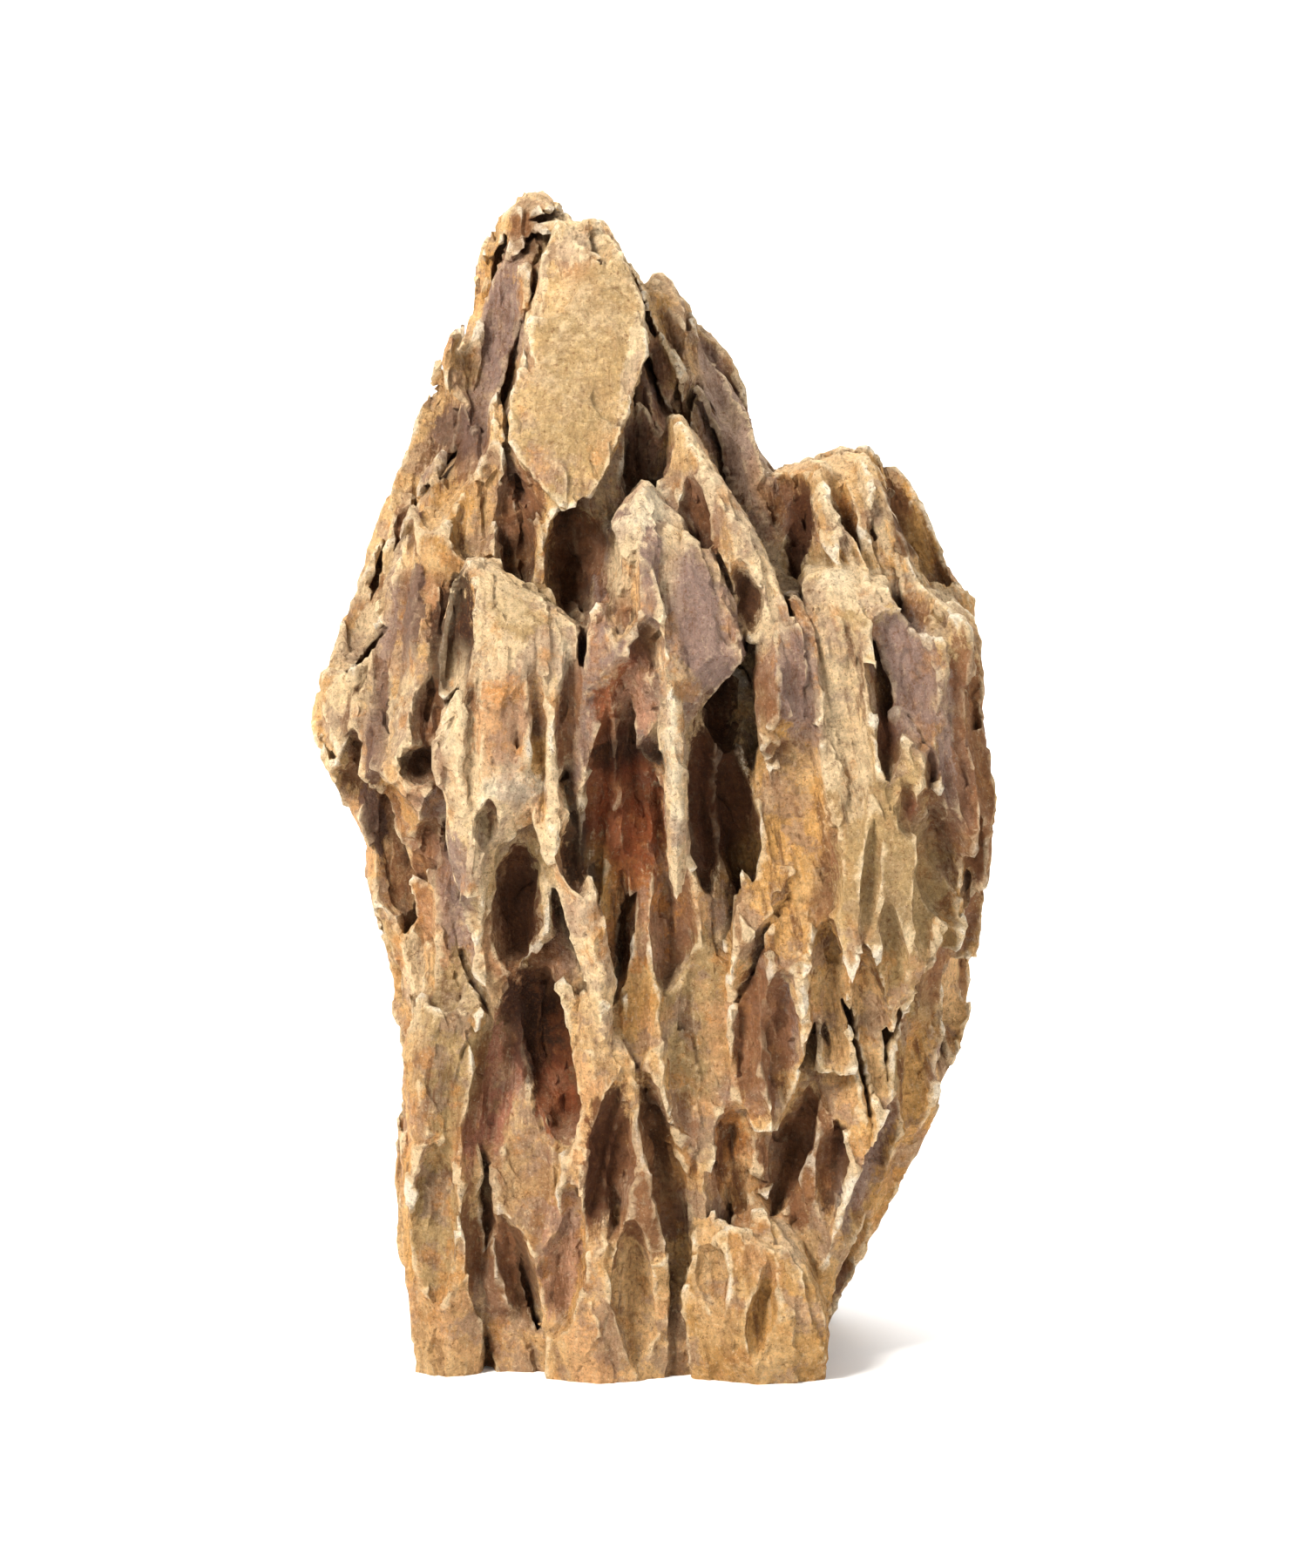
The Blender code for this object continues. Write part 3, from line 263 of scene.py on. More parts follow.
        (15.8, 137, 5.4, 16, 3.9, -12, 6, "dark"), (7, 151, 5.4, 19, 3.9, -14, 6, "dark"),
        (18, 151, 3.4, 26, 2.2, -24, 0, "mauve"), (25.4, 118.5, 9, 23, 2.4, -10, 0, "brown"),
        (21, 107.6, 8, 10, 5.8, 0, 10, "dark"), (23.6, 94, 17.8, 48, 5.3, 5, 0, "ochre"),
        (29.4, 87.4, 5.4, 22, 3.9, 8, 0, "brown"),
        # shoulder
        (24.9, 148, 6, 24, 4.3, -3, 6, "dark"), (20.8, 152.6, 6.9, 18, 5, -10, 0, "brown"),
        (33.2, 149, 4.8, 20, 3.5, -8, 0, "orange"), (40.6, 149, 4.6, 20, 3.3, -18, 0, "dark"),
        (47, 144, 8.4, 33, 2.9, -20, 0, "brown"), (27, 158, 10.6, 7, 2.7, 0, 0, "brown"),
        # right column
        (43, 124.6, 11.4, 31, 4.2, -13, 4, "mauve"), (40, 113, 5, 15, 3.6, 4, 8, "dark"),
        (43.6, 100.6, 4.3, 11, 3.1, 0, 6, "brown"), (47.6, 107, 2.8, 11, 2, 0, 0, "dark"),
        (53.2, 111, 9.2, 51, 3.3, -3, 0, "mauve"), (33, 121, 7.9, 48, 2, -4, 0, "cream"),
        (55.6, 87, 5, 23, 3, 0, 0, "brown"), (37, 88, 3.7, 28, 2.2, 5, 0, "khaki"),
        (46.6, 84, 4.8, 32, 2.4, -3, 0, "khaki"), (51, 70, 4.3, 28, 3, 4, 0, "ochre"),
        (41, 74, 5, 23, 3.4, -6, 0, "khaki"),
        # lower right and foot
        (15.4, 62, 7.6, 38, 5.2, 8, 4, "brown"), (22.2, 57, 7.8, 36, 6, -2, 6, "mauve"),
        (30.4, 66, 7, 34, 4.4, -2, 0, "ochre"), (37.6, 62, 7.2, 32, 5, -10, 4, "tan"),
        (47, 60, 9.7, 41, 5.2, 9, 0, "khaki"), (24.4, 41, 6.8, 30, 5.2, 16, 4, "brown"),
        (30.8, 37, 6.2, 24, 4.4, 6, 0, "dark"), (14, 38, 8.6, 26, 5.6, -4, 0, "orange"),
        (39, 36, 9.7, 33, 5.2, 16, 0, "mauve"), (19, 14, 5.4, 26, 3.9, 10, 0, "ochre"),
        (10, 20, 6.5, 15, 3, -14, 0, "tan"), (-38, 27, 9.7, 36, 4.9, 2, 0, "khaki"),
        (-30.2, 24, 5.8, 30, 3.8, -2, 4, "brown"), (-24.8, 20, 6, 28, 4.2, -10, 4, "dark"),
        (-16.4, 21, 9.7, 31, 5.2, 8, 0, "ochre"), (-3, 15, 8.6, 29, 4.9, -4, 0, "tan"),
    ),
    # across, along, width, length, depth
    "topScoops": (
        (30, -2, 9, 20, 4), (39, 9, 9, 16, 4), (22, 10, 10, 22, 5), (8, 20, 8, 18, 4), (-8, 14, 9, 20, 4),
        (-24, 12, 7, 16, 3), (46, -4, 7, 18, 3.4), (36, 20, 10, 20, 5), (49, -33, 5, 10, 2.4),
        (34, -30, 5, 10, 2.4), (-14, 4, 5, 12, 2.2), (12, 4, 6, 16, 4),
    ),
}

skin = {
    "side": 0.0005,  # side of the even mesh, in metres
    "mostTriangles": 192000,
    # flake scars: how many, then limits of width, length and depth
    "flakes": ((170, (9, 16), (16, 36), (0.7, 1.4)), (460, (4, 7), (7, 16), (0.3, 0.7))),
    "flakeHeights": (2, 196),  # where the rays that place the scars aim at, and how steeply they come down
    "flakeRise": (-5, 50),
    "flakeTurn": 34,  # how far a scar may turn from the way of the flutes
    "flakeDip": (0, 8),  # how far the foot of a scar goes in
    "flakeLid": 1.3,  # how far above the surface a scar still cuts
    "flakeShades": 6,
    # faces on the front that no flake spoils: across, height, width, length, lean
    "calm": (
        (-12, 177, 19, 40, 12), (7.5, 133, 9, 26, -15), (13.6, 164, 7, 34, -21), (41, 88, 20, 26, 0),
    ),
    "calmSharp": 4,  # how soon inside its edge a calm face is fully calm
    # more faces with hardly a flake
    "whole": (
        (-24.5, 122, 17, 36, 2), (-36, 56, 13, 38, 3), (-33.5, 151, 10, 17, 8), (-54, 116, 9, 34, 10),
        (-42.5, 117, 6, 28, 6), (-27, 183, 8, 26, 6), (10, 150, 8, 30, -22), (21, 90, 13, 30, 4),
        (-19.5, 58, 14, 33, -12), (-23.4, 84, 10, 26, 3), (-34.8, 130, 10, 30, 10), (-3, 100, 14, 40, 0),
        (11, 102, 13, 36, -4),
    ),
    # broken plates: size, stretch along the flutes, how far one stands out or back, how far it tilts
    "plates": ((6.0, 2.4, 0.22, 0.45), (2.6, 2.0, 0.05, 0.14)),
    "crisp": (7, 0.75),  # smoothing rounds, and the share of what they take away that is added instead
    "crispMost": 0.6,
    "blunt": (4.5, 7.0),  # fine ridges between these are rounded off, so that no thin fin is left
    "bluntRounds": 3,
    "wander": ((9.0, 0.60), (3.2, 0.22)),  # spacing and depth of the sideways wander of the ridges
    "ridgeRounds": (10, 44),  # smoothing rounds that show the fine and the broad ridges
    "ridgeReach": (0.16, 0.55),  # how proud of the smoothed skin a full ridge stands
    "baseSlack": 0.00011,  # in metres: a point that is this near the ground is set on it
    "crease": 33,  # angle between two facets from which their edge is sharp
    "chipSize": 2.3,
    "chipDepth": 0.45,
    "fluteSize": 1.5,
    "fluteStretch": 8.0,
    "fluteDepth": 0.12,
    "grainSize": 1.2,
    "grainDepth": 0.20,
    "hollowDeep": 9.0,  # depth below the unscooped body that counts as a full hollow
    "scoopDeep": 1.5,  # least depth of a scoop at which its tone is full
    "shelterReach": 26.0,  # how far a wall shelters a spot from the light
    "shelterRays": 14,
    "shelterLift": 0.3,
}


def onlySelect(piece):
    bpy.ops.object.select_all(action="DESELECT")
    piece.select_set(True)
    bpy.context.view_layer.objects.active = piece


def applyModifier(piece, kind, settings):
    onlySelect(piece)
    modifier = piece.modifiers.new(kind.lower(), kind)
    for name, value in settings.items():
        setattr(modifier, name, value)
    bpy.ops.object.modifier_apply(modifier=modifier.name)


# one property of all points, edges or triangles, in rows of this width
def readAll(items, name, width, kind=float):
    values = np.empty(len(items) * width, kind)
    items.foreach_get(name, values)
    return values.reshape(-1, width)


def readPoints(mesh):
    return readAll(mesh.vertices, "co", 3)


def readNormals(mesh):
    return readAll(mesh.vertices, "normal", 3)


def readEdges(mesh):
    return readAll(mesh.edges, "vertices", 2, np.int64)


def readTriangles(mesh):
    mesh.calc_loop_triangles()
    return readAll(mesh.loop_triangles, "vertices", 3, np.int32)


def writePoints(mesh, points):
    mesh.vertices.foreach_set("co", np.asarray(points).ravel())
    mesh.update()


def surfaceTree(piece):
    return BVHTree.FromPolygons(readPoints(piece.data).tolist(), readTriangles(piece.data).tolist())


# points, triangles, tone, shade and depth of every mass, slab and scoop, to colour the faces that they leave
surfaces = []
shade = random.Random(stone["seed"] + 2)
noise.seed_set(stone["seed"])  # or noise_vector differs from run to run


def keepSurface(piece, tone, depth=0.0):
    if isinstance(tone, dict):
        tone = shade.choices(list(tone), list(tone.values()))[0]
    surfaces.append((readPoints(piece.data), readTriangles(piece.data), tone, shade.uniform(-1, 1), depth))
    return piece


# a flat ring, extruded from station to station, then its points put in their places
def stackRings(name, rings):
    bpy.ops.object.select_all(action="DESELECT")
    bpy.ops.mesh.primitive_circle_add(vertices=len(rings[0]), radius=stone["mm"], fill_type="NGON")
    piece = bpy.context.object
    piece.name = name
    bpy.ops.object.mode_set(mode="EDIT")
    for _ in rings[1:]:
        bpy.ops.mesh.extrude_region_move(TRANSFORM_OT_translate={"value": (0, 0, -stone["mm"])})
    bpy.ops.object.mode_set(mode="OBJECT")
    writePoints(piece.data, [point for ring in rings for point in ring])
    bpy.ops.object.mode_set(mode="EDIT")
    bpy.ops.mesh.select_all(action="SELECT")
    bpy.ops.mesh.quads_convert_to_tris()
    bpy.ops.mesh.normals_make_consistent(inside=False)
    bpy.ops.object.mode_set(mode="OBJECT")
    return piece


# rings at even heights, straight between the rings given
def stationsOf(stack):
    rings = [stack[0]]
    for upper, lower in zip(stack, stack[1:]):
        steps = max(1, round((upper[0] - lower[0]) / stone["stationStep"]))
        for i in range(1, steps + 1):
            rings.append(tuple(a + (b - a) * i / steps for a, b in zip(upper, lower)))
    return rings


def squared(value):
    return math.copysign(abs(value) ** (2 / stone["sectionPower"]), value)


# a point moved in or out a little, so that no wall is perfectly even
def swollen(point, centre):
    out = Vector((point.x - centre.x, point.y - centre.y, 0)).normalized()
    return (point + out * noise.noise(point / stone["wobbleSize"]) * stone["wobbleDepth"]) * stone["mm"]


def roundRing(ring):
    height, left, right, front, back = ring
    middle = Vector(((left + right) / 2, (front + back) / 2, height))
    for i in range(stone["ringPoints"]):
        turn = math.tau * i / stone["ringPoints"]
        across = squared(math.cos(turn)) * (right - left) / 2
        along = squared(math.sin(turn)) * (back - front) / 2
        yield swollen(middle + Vector((across, along, 0)), middle)


# a prow: a ridge between two flat faces, and two flat sides back into the body
def slabRing(ring, ridge, fallLeft, fallRight):
    height, left, right, outer, inner = ring
    way = math.copysign(1, inner - outer)
    crest = left + (right - left) * ridge
    corners = (
        (left, inner),
        (left, (inner + outer) / 2),
        (left, outer + way * fallLeft),
        ((left + crest) / 2, outer + way * fallLeft * stone["slabBelly"]),
        (crest, outer),
        ((crest + right) / 2, outer + way * fallRight * stone["slabBelly"]),
        (right, outer + way * fallRight),
        (right, (inner + outer) / 2),
        (right, inner),
    )
    middle = Vector(((left + right) / 2, inner, height))
    for across, along in corners:
        yield swollen(Vector((across, along, height)), middle)


def massPiece(name):
    rings = [list(roundRing(ring)) for ring in stationsOf(stone["masses"][name])]
    return keepSurface(stackRings(name, rings), stone["massTones"][name])


def slabPiece(slab):
    tone, ridge, fallLeft, fallRight, stack = slab
    rings = [list(slabRing(ring, ridge, fallLeft, fallRight)) for ring in stationsOf(stack)]
    return keepSurface(stackRings("slab", rings), tone)


# a point on the line that the body grows round
def axisAt(height):
    foot, lean = stone["axis"]
    return Vector((foot - height * lean, 0, height)) * stone["mm"]


def outwardAt(azimuth):
    turn = math.radians(azimuth)
    return Vector((math.cos(turn), math.sin(turn), 0))


# a slab that follows the body's wall at one azimuth, pointed at the top and fading out at the foot
def tonguePiece(tree, azimuth, top, length, width, proud):
    outward = outwardAt(azimuth)
    across = Vector((-outward.y, outward.x, 0))
    rings = []
    for i in range(stone["tongueRings"]):
        t = i / (stone["tongueRings"] - 1)
        height = max(top - length * t, stone["tongueFoot"])
        spot = tree.ray_cast(axisAt(max(height, 1)) + outward, -outward)[0]
        if spot is None:
            continue
        half = width / 2 * (0.16 + 0.84 * math.sin(math.pi * min(1, 0.08 + t * 0.86)))
        rise = proud * math.sin(math.pi * (0.14 + t * 0.8))
        spot = Vector((spot.x, spot.y, height * stone["mm"])) / stone["mm"]
        line = [(a, rise * b) for a, b in stone["tongueLine"]]
        section = [(1, stone["tongueRoot"]), *line, (-1, stone["tongueRoot"])]
        rings.append([(spot + across * half * a + outward * b) * stone["mm"] for a, b in section])
    return keepSurface(stackRings("tongue", rings), stone["backRows"]["tones"])


# joins the body with all the tools, or cuts it by them, at once
def joinOrCut(body, operation, tools):
    group = bpy.data.collections.new("tools")
    bpy.context.scene.collection.children.link(group)
    for tool in tools:
        for home in list(tool.users_collection):
            home.objects.unlink(tool)
        group.objects.link(tool)
    settings = {"solver": "MANIFOLD", "operand_type": "COLLECTION", "collection": group}
    applyModifier(body, "BOOLEAN", {"operation": operation, **settings})
    for tool in tools:
        bpy.data.objects.remove(tool)
    bpy.data.collections.remove(group)


# the round starts of every scoop and of every small flake scar
pebbles = []
for splits in stone["pebbleSplits"]:
    bpy.ops.object.select_all(action="DESELECT")
    bpy.ops.mesh.primitive_ico_sphere_add(subdivisions=splits, radius=1)
    pebbles.append(bpy.context.object)


def toSummit(spot):
    return (Vector(stone["summit"]) * stone["mm"] - spot).normalized()


# a pointed, slightly bent pebble that leaves a hollow of this width, length and depth at the spot
def scoopPiece(pebble, spot, inward, upward, width, length, depth, lean, dip, lid=None):
    pebblePoints = readPoints(pebble.data)
    deepest, shallowest = stone["scoopOpen"]
    openness = min(shallowest, max(deepest, 1 - 1.5 * depth / width))
    reach = depth / (1 - openness)
    spread = 1 / math.sqrt(1 - openness * openness)
    side = inward.cross(upward).normalized()
    up = side.cross(inward).normalized()
    facing = Matrix((side, inward, up)).transposed().to_4x4()
    turn = Matrix.Rotation(math.radians(lean), 4, "Y") @ Matrix.Rotation(math.radians(dip), 4, "X")
    centre = spot - inward * (reach * openness * stone["mm"])
    halves = (width / 2 * spread * stone["mm"], reach * stone["mm"], length / 2 * spread * stone["mm"])
    size = Matrix.Diagonal((*halves, 1))
    # noise at the spot, which is in metres, makes every scoop another shape
    bend = stone["scoopBend"] * noise.noise(spot * 97)
    taper = stone["scoopTaper"] * noise.noise(spot * 71 + Vector((5, 3, 1)))
    coarse = np.array([noise.noise(Vector(p) * 1.9 + spot * 211) for p in pebblePoints])
    fine = np.array([noise.noise(Vector(p) * 4.7 + spot * 307) for p in pebblePoints])
    rough = 1 + stone["scoopSwell"] * coarse + stone["scoopRough"] * fine
    x, y, z = pebblePoints.T
    if lid:  # a lens with a low lid, which leaves the walls round a flake scar alone
        x, z = x / spread, z / spread
        y = np.where(y > 0, np.sqrt(1 - x * x - z * z), openness + y * lid / reach)
    slim = (np.maximum(0, 1 - z * z) + 0.02) ** 0.22 * (1 + taper * z)
    shaped = np.stack((x * slim * rough + bend * (z * z - 0.35), y * slim * rough, z, np.ones(len(z))))
    placed = np.array(Matrix.Translation(centre) @ facing @ turn @ size) @ shaped
    scoop = pebble.copy()
    scoop.data = pebble.data.copy()
    bpy.context.scene.collection.objects.link(scoop)
    writePoints(scoop.data, placed[:3].T)
    return scoop


def frontScoops(tree):
    ahead = Vector((0, 1, 0))
    for across, height, width, length, depth, lean, dip, tone in stone["frontScoops"]:
        spot, normal, _, _ = tree.ray_cast(Vector((across, -stone["rayStart"], height)) * stone["mm"], ahead)
        if spot is not None:
            inward = (ahead * stone["scoopAim"] - normal * (1 - stone["scoopAim"])).normalized()
            scoop = scoopPiece(pebbles[0], spot, inward, Vector((0, 0, 1)), width, length, depth, lean, dip)
            yield keepSurface(scoop, tone, depth)


def topScoops(tree):
    for across, along, width, length, depth in stone["topScoops"]:
        start = Vector((across, along, stone["rayStart"])) * stone["mm"]
        spot, normal, _, _ = tree.ray_cast(start, Vector((0, 0, -1)))
        if spot is not None:
            scoop = scoopPiece(pebbles[0], spot, -normal, toSummit(spot), width, length, depth, 0, 0)
            yield keepSurface(scoop, stone["backRows"]["tones"], depth)


# a scoop in the wall at this azimuth and height, of a chance size between the group's limits
def scoopAt(tree, rule, azimuth, height, group):
    outward = outwardAt(azimuth)
    width, length, depth = [rule.uniform(*limits) for limits in group["sizes"]]
    lean, dip = rule.uniform(-stone["scoopLean"], stone["scoopLean"]), rule.uniform(0, stone["scoopDip"])
    spot, normal, _, _ = tree.ray_cast(axisAt(height) + outward, -outward)
    if spot is not None:
        least, reach = stone["scoopNarrow"]
        narrow = min(1, least + (spot - axisAt(height)).length / (reach * stone["mm"]))
        depth *= 1 - stone["edgeSpared"] * math.exp(-((normal.y / stone["edgeSpread"]) ** 2))
        sizes = (width * narrow, length, depth * narrow)
        scoop = scoopPiece(pebbles[0], spot, -normal, toSummit(spot), *sizes, lean, dip)
        yield keepSurface(scoop, group["tones"], depth * narrow)


# rows of scoops round the body, every other row half a place on
def rowScoops(tree, rule, group):
    strayAcross, strayUp = group["stray"]
    for row in range(group["rows"]):
        for i in range(group["perRow"]):
            turn = i + 0.5 * (row % 2) + rule.uniform(-strayAcross, strayAcross)
            azimuth = group["start"] + turn * group["sweep"] / group["fit"]
            height = stone["firstRow"] + row * group["rise"] + rule.uniform(-strayUp, strayUp)
            yield from scoopAt(tree, rule, azimuth, height, group)


# deep scoops over the two sides and the back, then small pits among them
def backScoops(tree):
    rule = random.Random(stone["seed"] + 1)
    yield from rowScoops(tree, rule, stone["backRows"])
    pits = stone["pits"]
    for _ in range(pits["count"]):
        azimuth = pits["start"] + rule.uniform(0, pits["sweep"])
        yield from scoopAt(tree, rule, azimuth, rule.uniform(*pits["heights"]), pits)


# how far inside an upright ellipse on the front a place in metres lies: 1 in the middle, 0 at the edge
def insideOf(spot, across, height, width, length, lean):
    x, z = spot[0] / stone["mm"] - across, spot[2] / stone["mm"] - height
    turn = math.radians(lean)
    x, z = x * math.cos(turn) - z * math.sin(turn), x * math.sin(turn) + z * math.cos(turn)
    return 1 - np.hypot(x / (width / 2), z / (length / 2))


# small flake scars all over, where rays from all round meet the stone
def flakeScoops(piece, layer, rule):
    count, *limits = layer
    spared = skin["calm"] + skin["whole"]
    tree = surfaceTree(piece)
    for _ in range(count):
        azimuth, rise = rule.uniform(0, 360), math.radians(rule.uniform(*skin["flakeRise"]))
        away = outwardAt(azimuth) * math.cos(rise) + Vector((0, 0, math.sin(rise)))
        start = axisAt(rule.uniform(*skin["flakeHeights"])) + away
        sizes = [rule.uniform(*pair) for pair in limits]
        lean, dip = rule.uniform(-skin["flakeTurn"], skin["flakeTurn"]), rule.uniform(*skin["flakeDip"])
        slot = 1 + rule.randrange(skin["flakeShades"])
        spot, normal, _, _ = tree.ray_cast(start, -away)
        if spot is None or (normal.y < -0.2 and any(insideOf(spot, *face) > 0 for face in spared)):
            continue
        scoop = scoopPiece(pebbles[1], spot, -normal, toSummit(spot), *sizes, lean, dip, skin["flakeLid"])
        for face in scoop.data.polygons:
            face.material_index = slot
        yield scoop


# the part with the most points, without the crumbs that the scoops cut free
def keepLargest(piece):
    onlySelect(piece)
    bpy.ops.object.mode_set(mode="EDIT")
    bpy.ops.mesh.select_all(action="SELECT")
    bpy.ops.mesh.separate(type="LOOSE")
    bpy.ops.object.mode_set(mode="OBJECT")
    parts = sorted(bpy.context.selected_objects, key=lambda part: len(part.data.vertices))
    for crumb in parts[:-1]:
        bpy.data.objects.remove(crumb)
    return parts[-1]


# values at the points, each round the mean of their neighbours
def smoothed(values, edges, rounds):
    ends, others = np.concatenate((edges, edges[:, ::-1])).T
    share = np.bincount(ends, minlength=len(values))
    for _ in range(rounds):
        sums = [np.bincount(ends, column[others], len(values)) for column in values.T]
        values = np.stack(sums, 1) / share[:, None]
    return values


def noiseAt(places):
    return np.array([noise.noise(Vector(place)) for place in places.tolist()])


# places in mm, drawn together towards the summit, as the flutes are
def flowOf(mm, stretch):
    summit = np.array(stone["summit"])
    climb = summit[2] / (summit[2] - mm[:, 2])
    return np.stack(((mm[:, 0] - summit[0]) * climb, (mm[:, 1] - summit[1]) * climb, mm[:, 2] / stretch), 1)


# each plate of a broken skin stands out or back a little, and tilts
def plateLift(mm, size, stretch, proud, tilt):
    lift = []
    for place in (flowOf(mm, stretch) / size).tolist():
        place = Vector(place)
        middle = noise.voronoi(place)[1][0]
        chance = noise.cell_vector(middle * 57)
        lift.append(chance.x * proud + (place - middle).dot(noise.cell_vector(middle * 131)) * tilt)
    return np.array(lift)


# 1 well inside a calm face, 0 outside
def calmOf(mm):
    inside = np.max([insideOf(mm.T * stone["mm"], *face) for face in skin["calm"]], axis=0)
    return np.clip(inside * skin["calmSharp"], 0, 1)


body = massPiece("spire")
joinOrCut(body, "UNION", [massPiece("backFin"), massPiece("shoulder")])
wornRule = random.Random(stone["seed"])
joinOrCut(body, "DIFFERENCE", list(rowScoops(surfaceTree(body), wornRule, stone["wornRows"])))
wornTree = surfaceTree(body)
slabs = [slabPiece(slab) for slab in stone["slabs"]]
slabs += [tonguePiece(wornTree, *tongue) for tongue in stone["tongues"]]
joinOrCut(body, "UNION", slabs)
bodyTree = surfaceTree(body)
bodyCount = len(surfaces)
print("stone: masses joined")

joinOrCut(body, "DIFFERENCE", [*frontScoops(bodyTree), *topScoops(bodyTree), *backScoops(bodyTree)])
print("stone: scoops cut")

for i in range(skin["flakeShades"] + 1):
    slot = bpy.data.materials.new(f"shade{i}")
    for piece in (body, *pebbles):
        piece.data.materials.append(slot)
flakeRule = random.Random(stone["seed"] + 3)
for layer in skin["flakes"]:
    joinOrCut(body, "DIFFERENCE", list(flakeScoops(body, layer, flakeRule)))
for pebble in pebbles:
    bpy.data.objects.remove(pebble)
flakeTree = surfaceTree(body)
slots = np.array([triangle.material_index for triangle in body.data.loop_triangles])
print("stone: flakes struck off,", len(slots), "triangles")

applyModifier(body, "REMESH", {"mode": "VOXEL", "voxel_size": skin["side"]})
body = keepLargest(body)
unworn = readPoints(body.data)
edges = readEdges(body.data)
print("stone: even skin of", len(unworn), "points")

mm = unworn / stone["mm"]
for size, reach in skin["wander"]:
    mm = mm + np.array([noise.noise_vector(Vector(point) / size) for point in mm.tolist()]) * reach
broken = np.where(mm[:, 1] < 0, 1 - calmOf(mm), 1)
writePoints(body.data, mm * stone["mm"])
normals = readNormals(body.data)
mm = mm + normals * (broken * sum(plateLift(mm, *plate) for plate in skin["plates"]))[:, None]
rounds, gain = skin["crisp"]
mm = mm + np.clip((mm - smoothed(mm, edges, rounds)) * gain, -skin["crispMost"], skin["crispMost"])
writePoints(body.data, mm * stone["mm"])
normals = readNormals(body.data)
fineRidge, broadRidge = [
    np.einsum("ij,ij->i", mm - smoothed(mm, edges, rounds), normals) / reach
    for rounds, reach in zip(skin["ridgeRounds"], skin["ridgeReach"])
]
low, high = skin["blunt"]
thin = np.clip((fineRidge - low) / (high - low), 0, 1)[:, None]
mm = mm * (1 - thin) + smoothed(mm, edges, skin["bluntRounds"]) * thin
flutes = noiseAt(flowOf(mm, skin["fluteStretch"]) / skin["fluteSize"]) * skin["fluteDepth"]
grains = noiseAt(mm / skin["grainSize"]) * skin["grainDepth"]
chips = np.maximum(0, noiseAt(mm / skin["chipSize"])) * np.clip(broadRidge, 0, 1) * skin["chipDepth"]
mm = mm + normals * (flutes + grains - chips)[:, None]
writePoints(body.data, mm * stone["mm"])
print("stone: skin worn")

fineTree = KDTree(len(mm))
for i, point in enumerate((mm * stone["mm"]).tolist()):
    fineTree.insert(point, i)
fineTree.balance()
share = skin["mostTriangles"] / sum(len(face.vertices) - 2 for face in body.data.polygons)
applyModifier(body, "DECIMATE", {"ratio": share, "use_collapse_triangulate": True})
onlySelect(body)
bpy.ops.object.mode_set(mode="EDIT")
bpy.ops.mesh.select_all(action="SELECT")
bpy.ops.mesh.bisect(plane_co=(0, 0, 0), plane_no=(0, 0, -1), use_fill=True, clear_outer=True)
bpy.ops.mesh.select_all(action="SELECT")
bpy.ops.mesh.quads_convert_to_tris()
bpy.ops.object.mode_set(mode="OBJECT")
body = keepLargest(body)
body.name = "dragonStone"
bpy.ops.object.shade_smooth_by_angle(angle=math.radians(skin["crease"]))
points = readPoints(body.data)
points[:, 2] = np.where(points[:, 2] < skin["baseSlack"], 0, points[:, 2])
source = np.array([fineTree.find(point)[1] for point in points.tolist()])
writePoints(body.data, points + np.array(stone["moved"]) * stone["mm"])
print("stone: thinned to", len(body.data.polygons), "triangles")

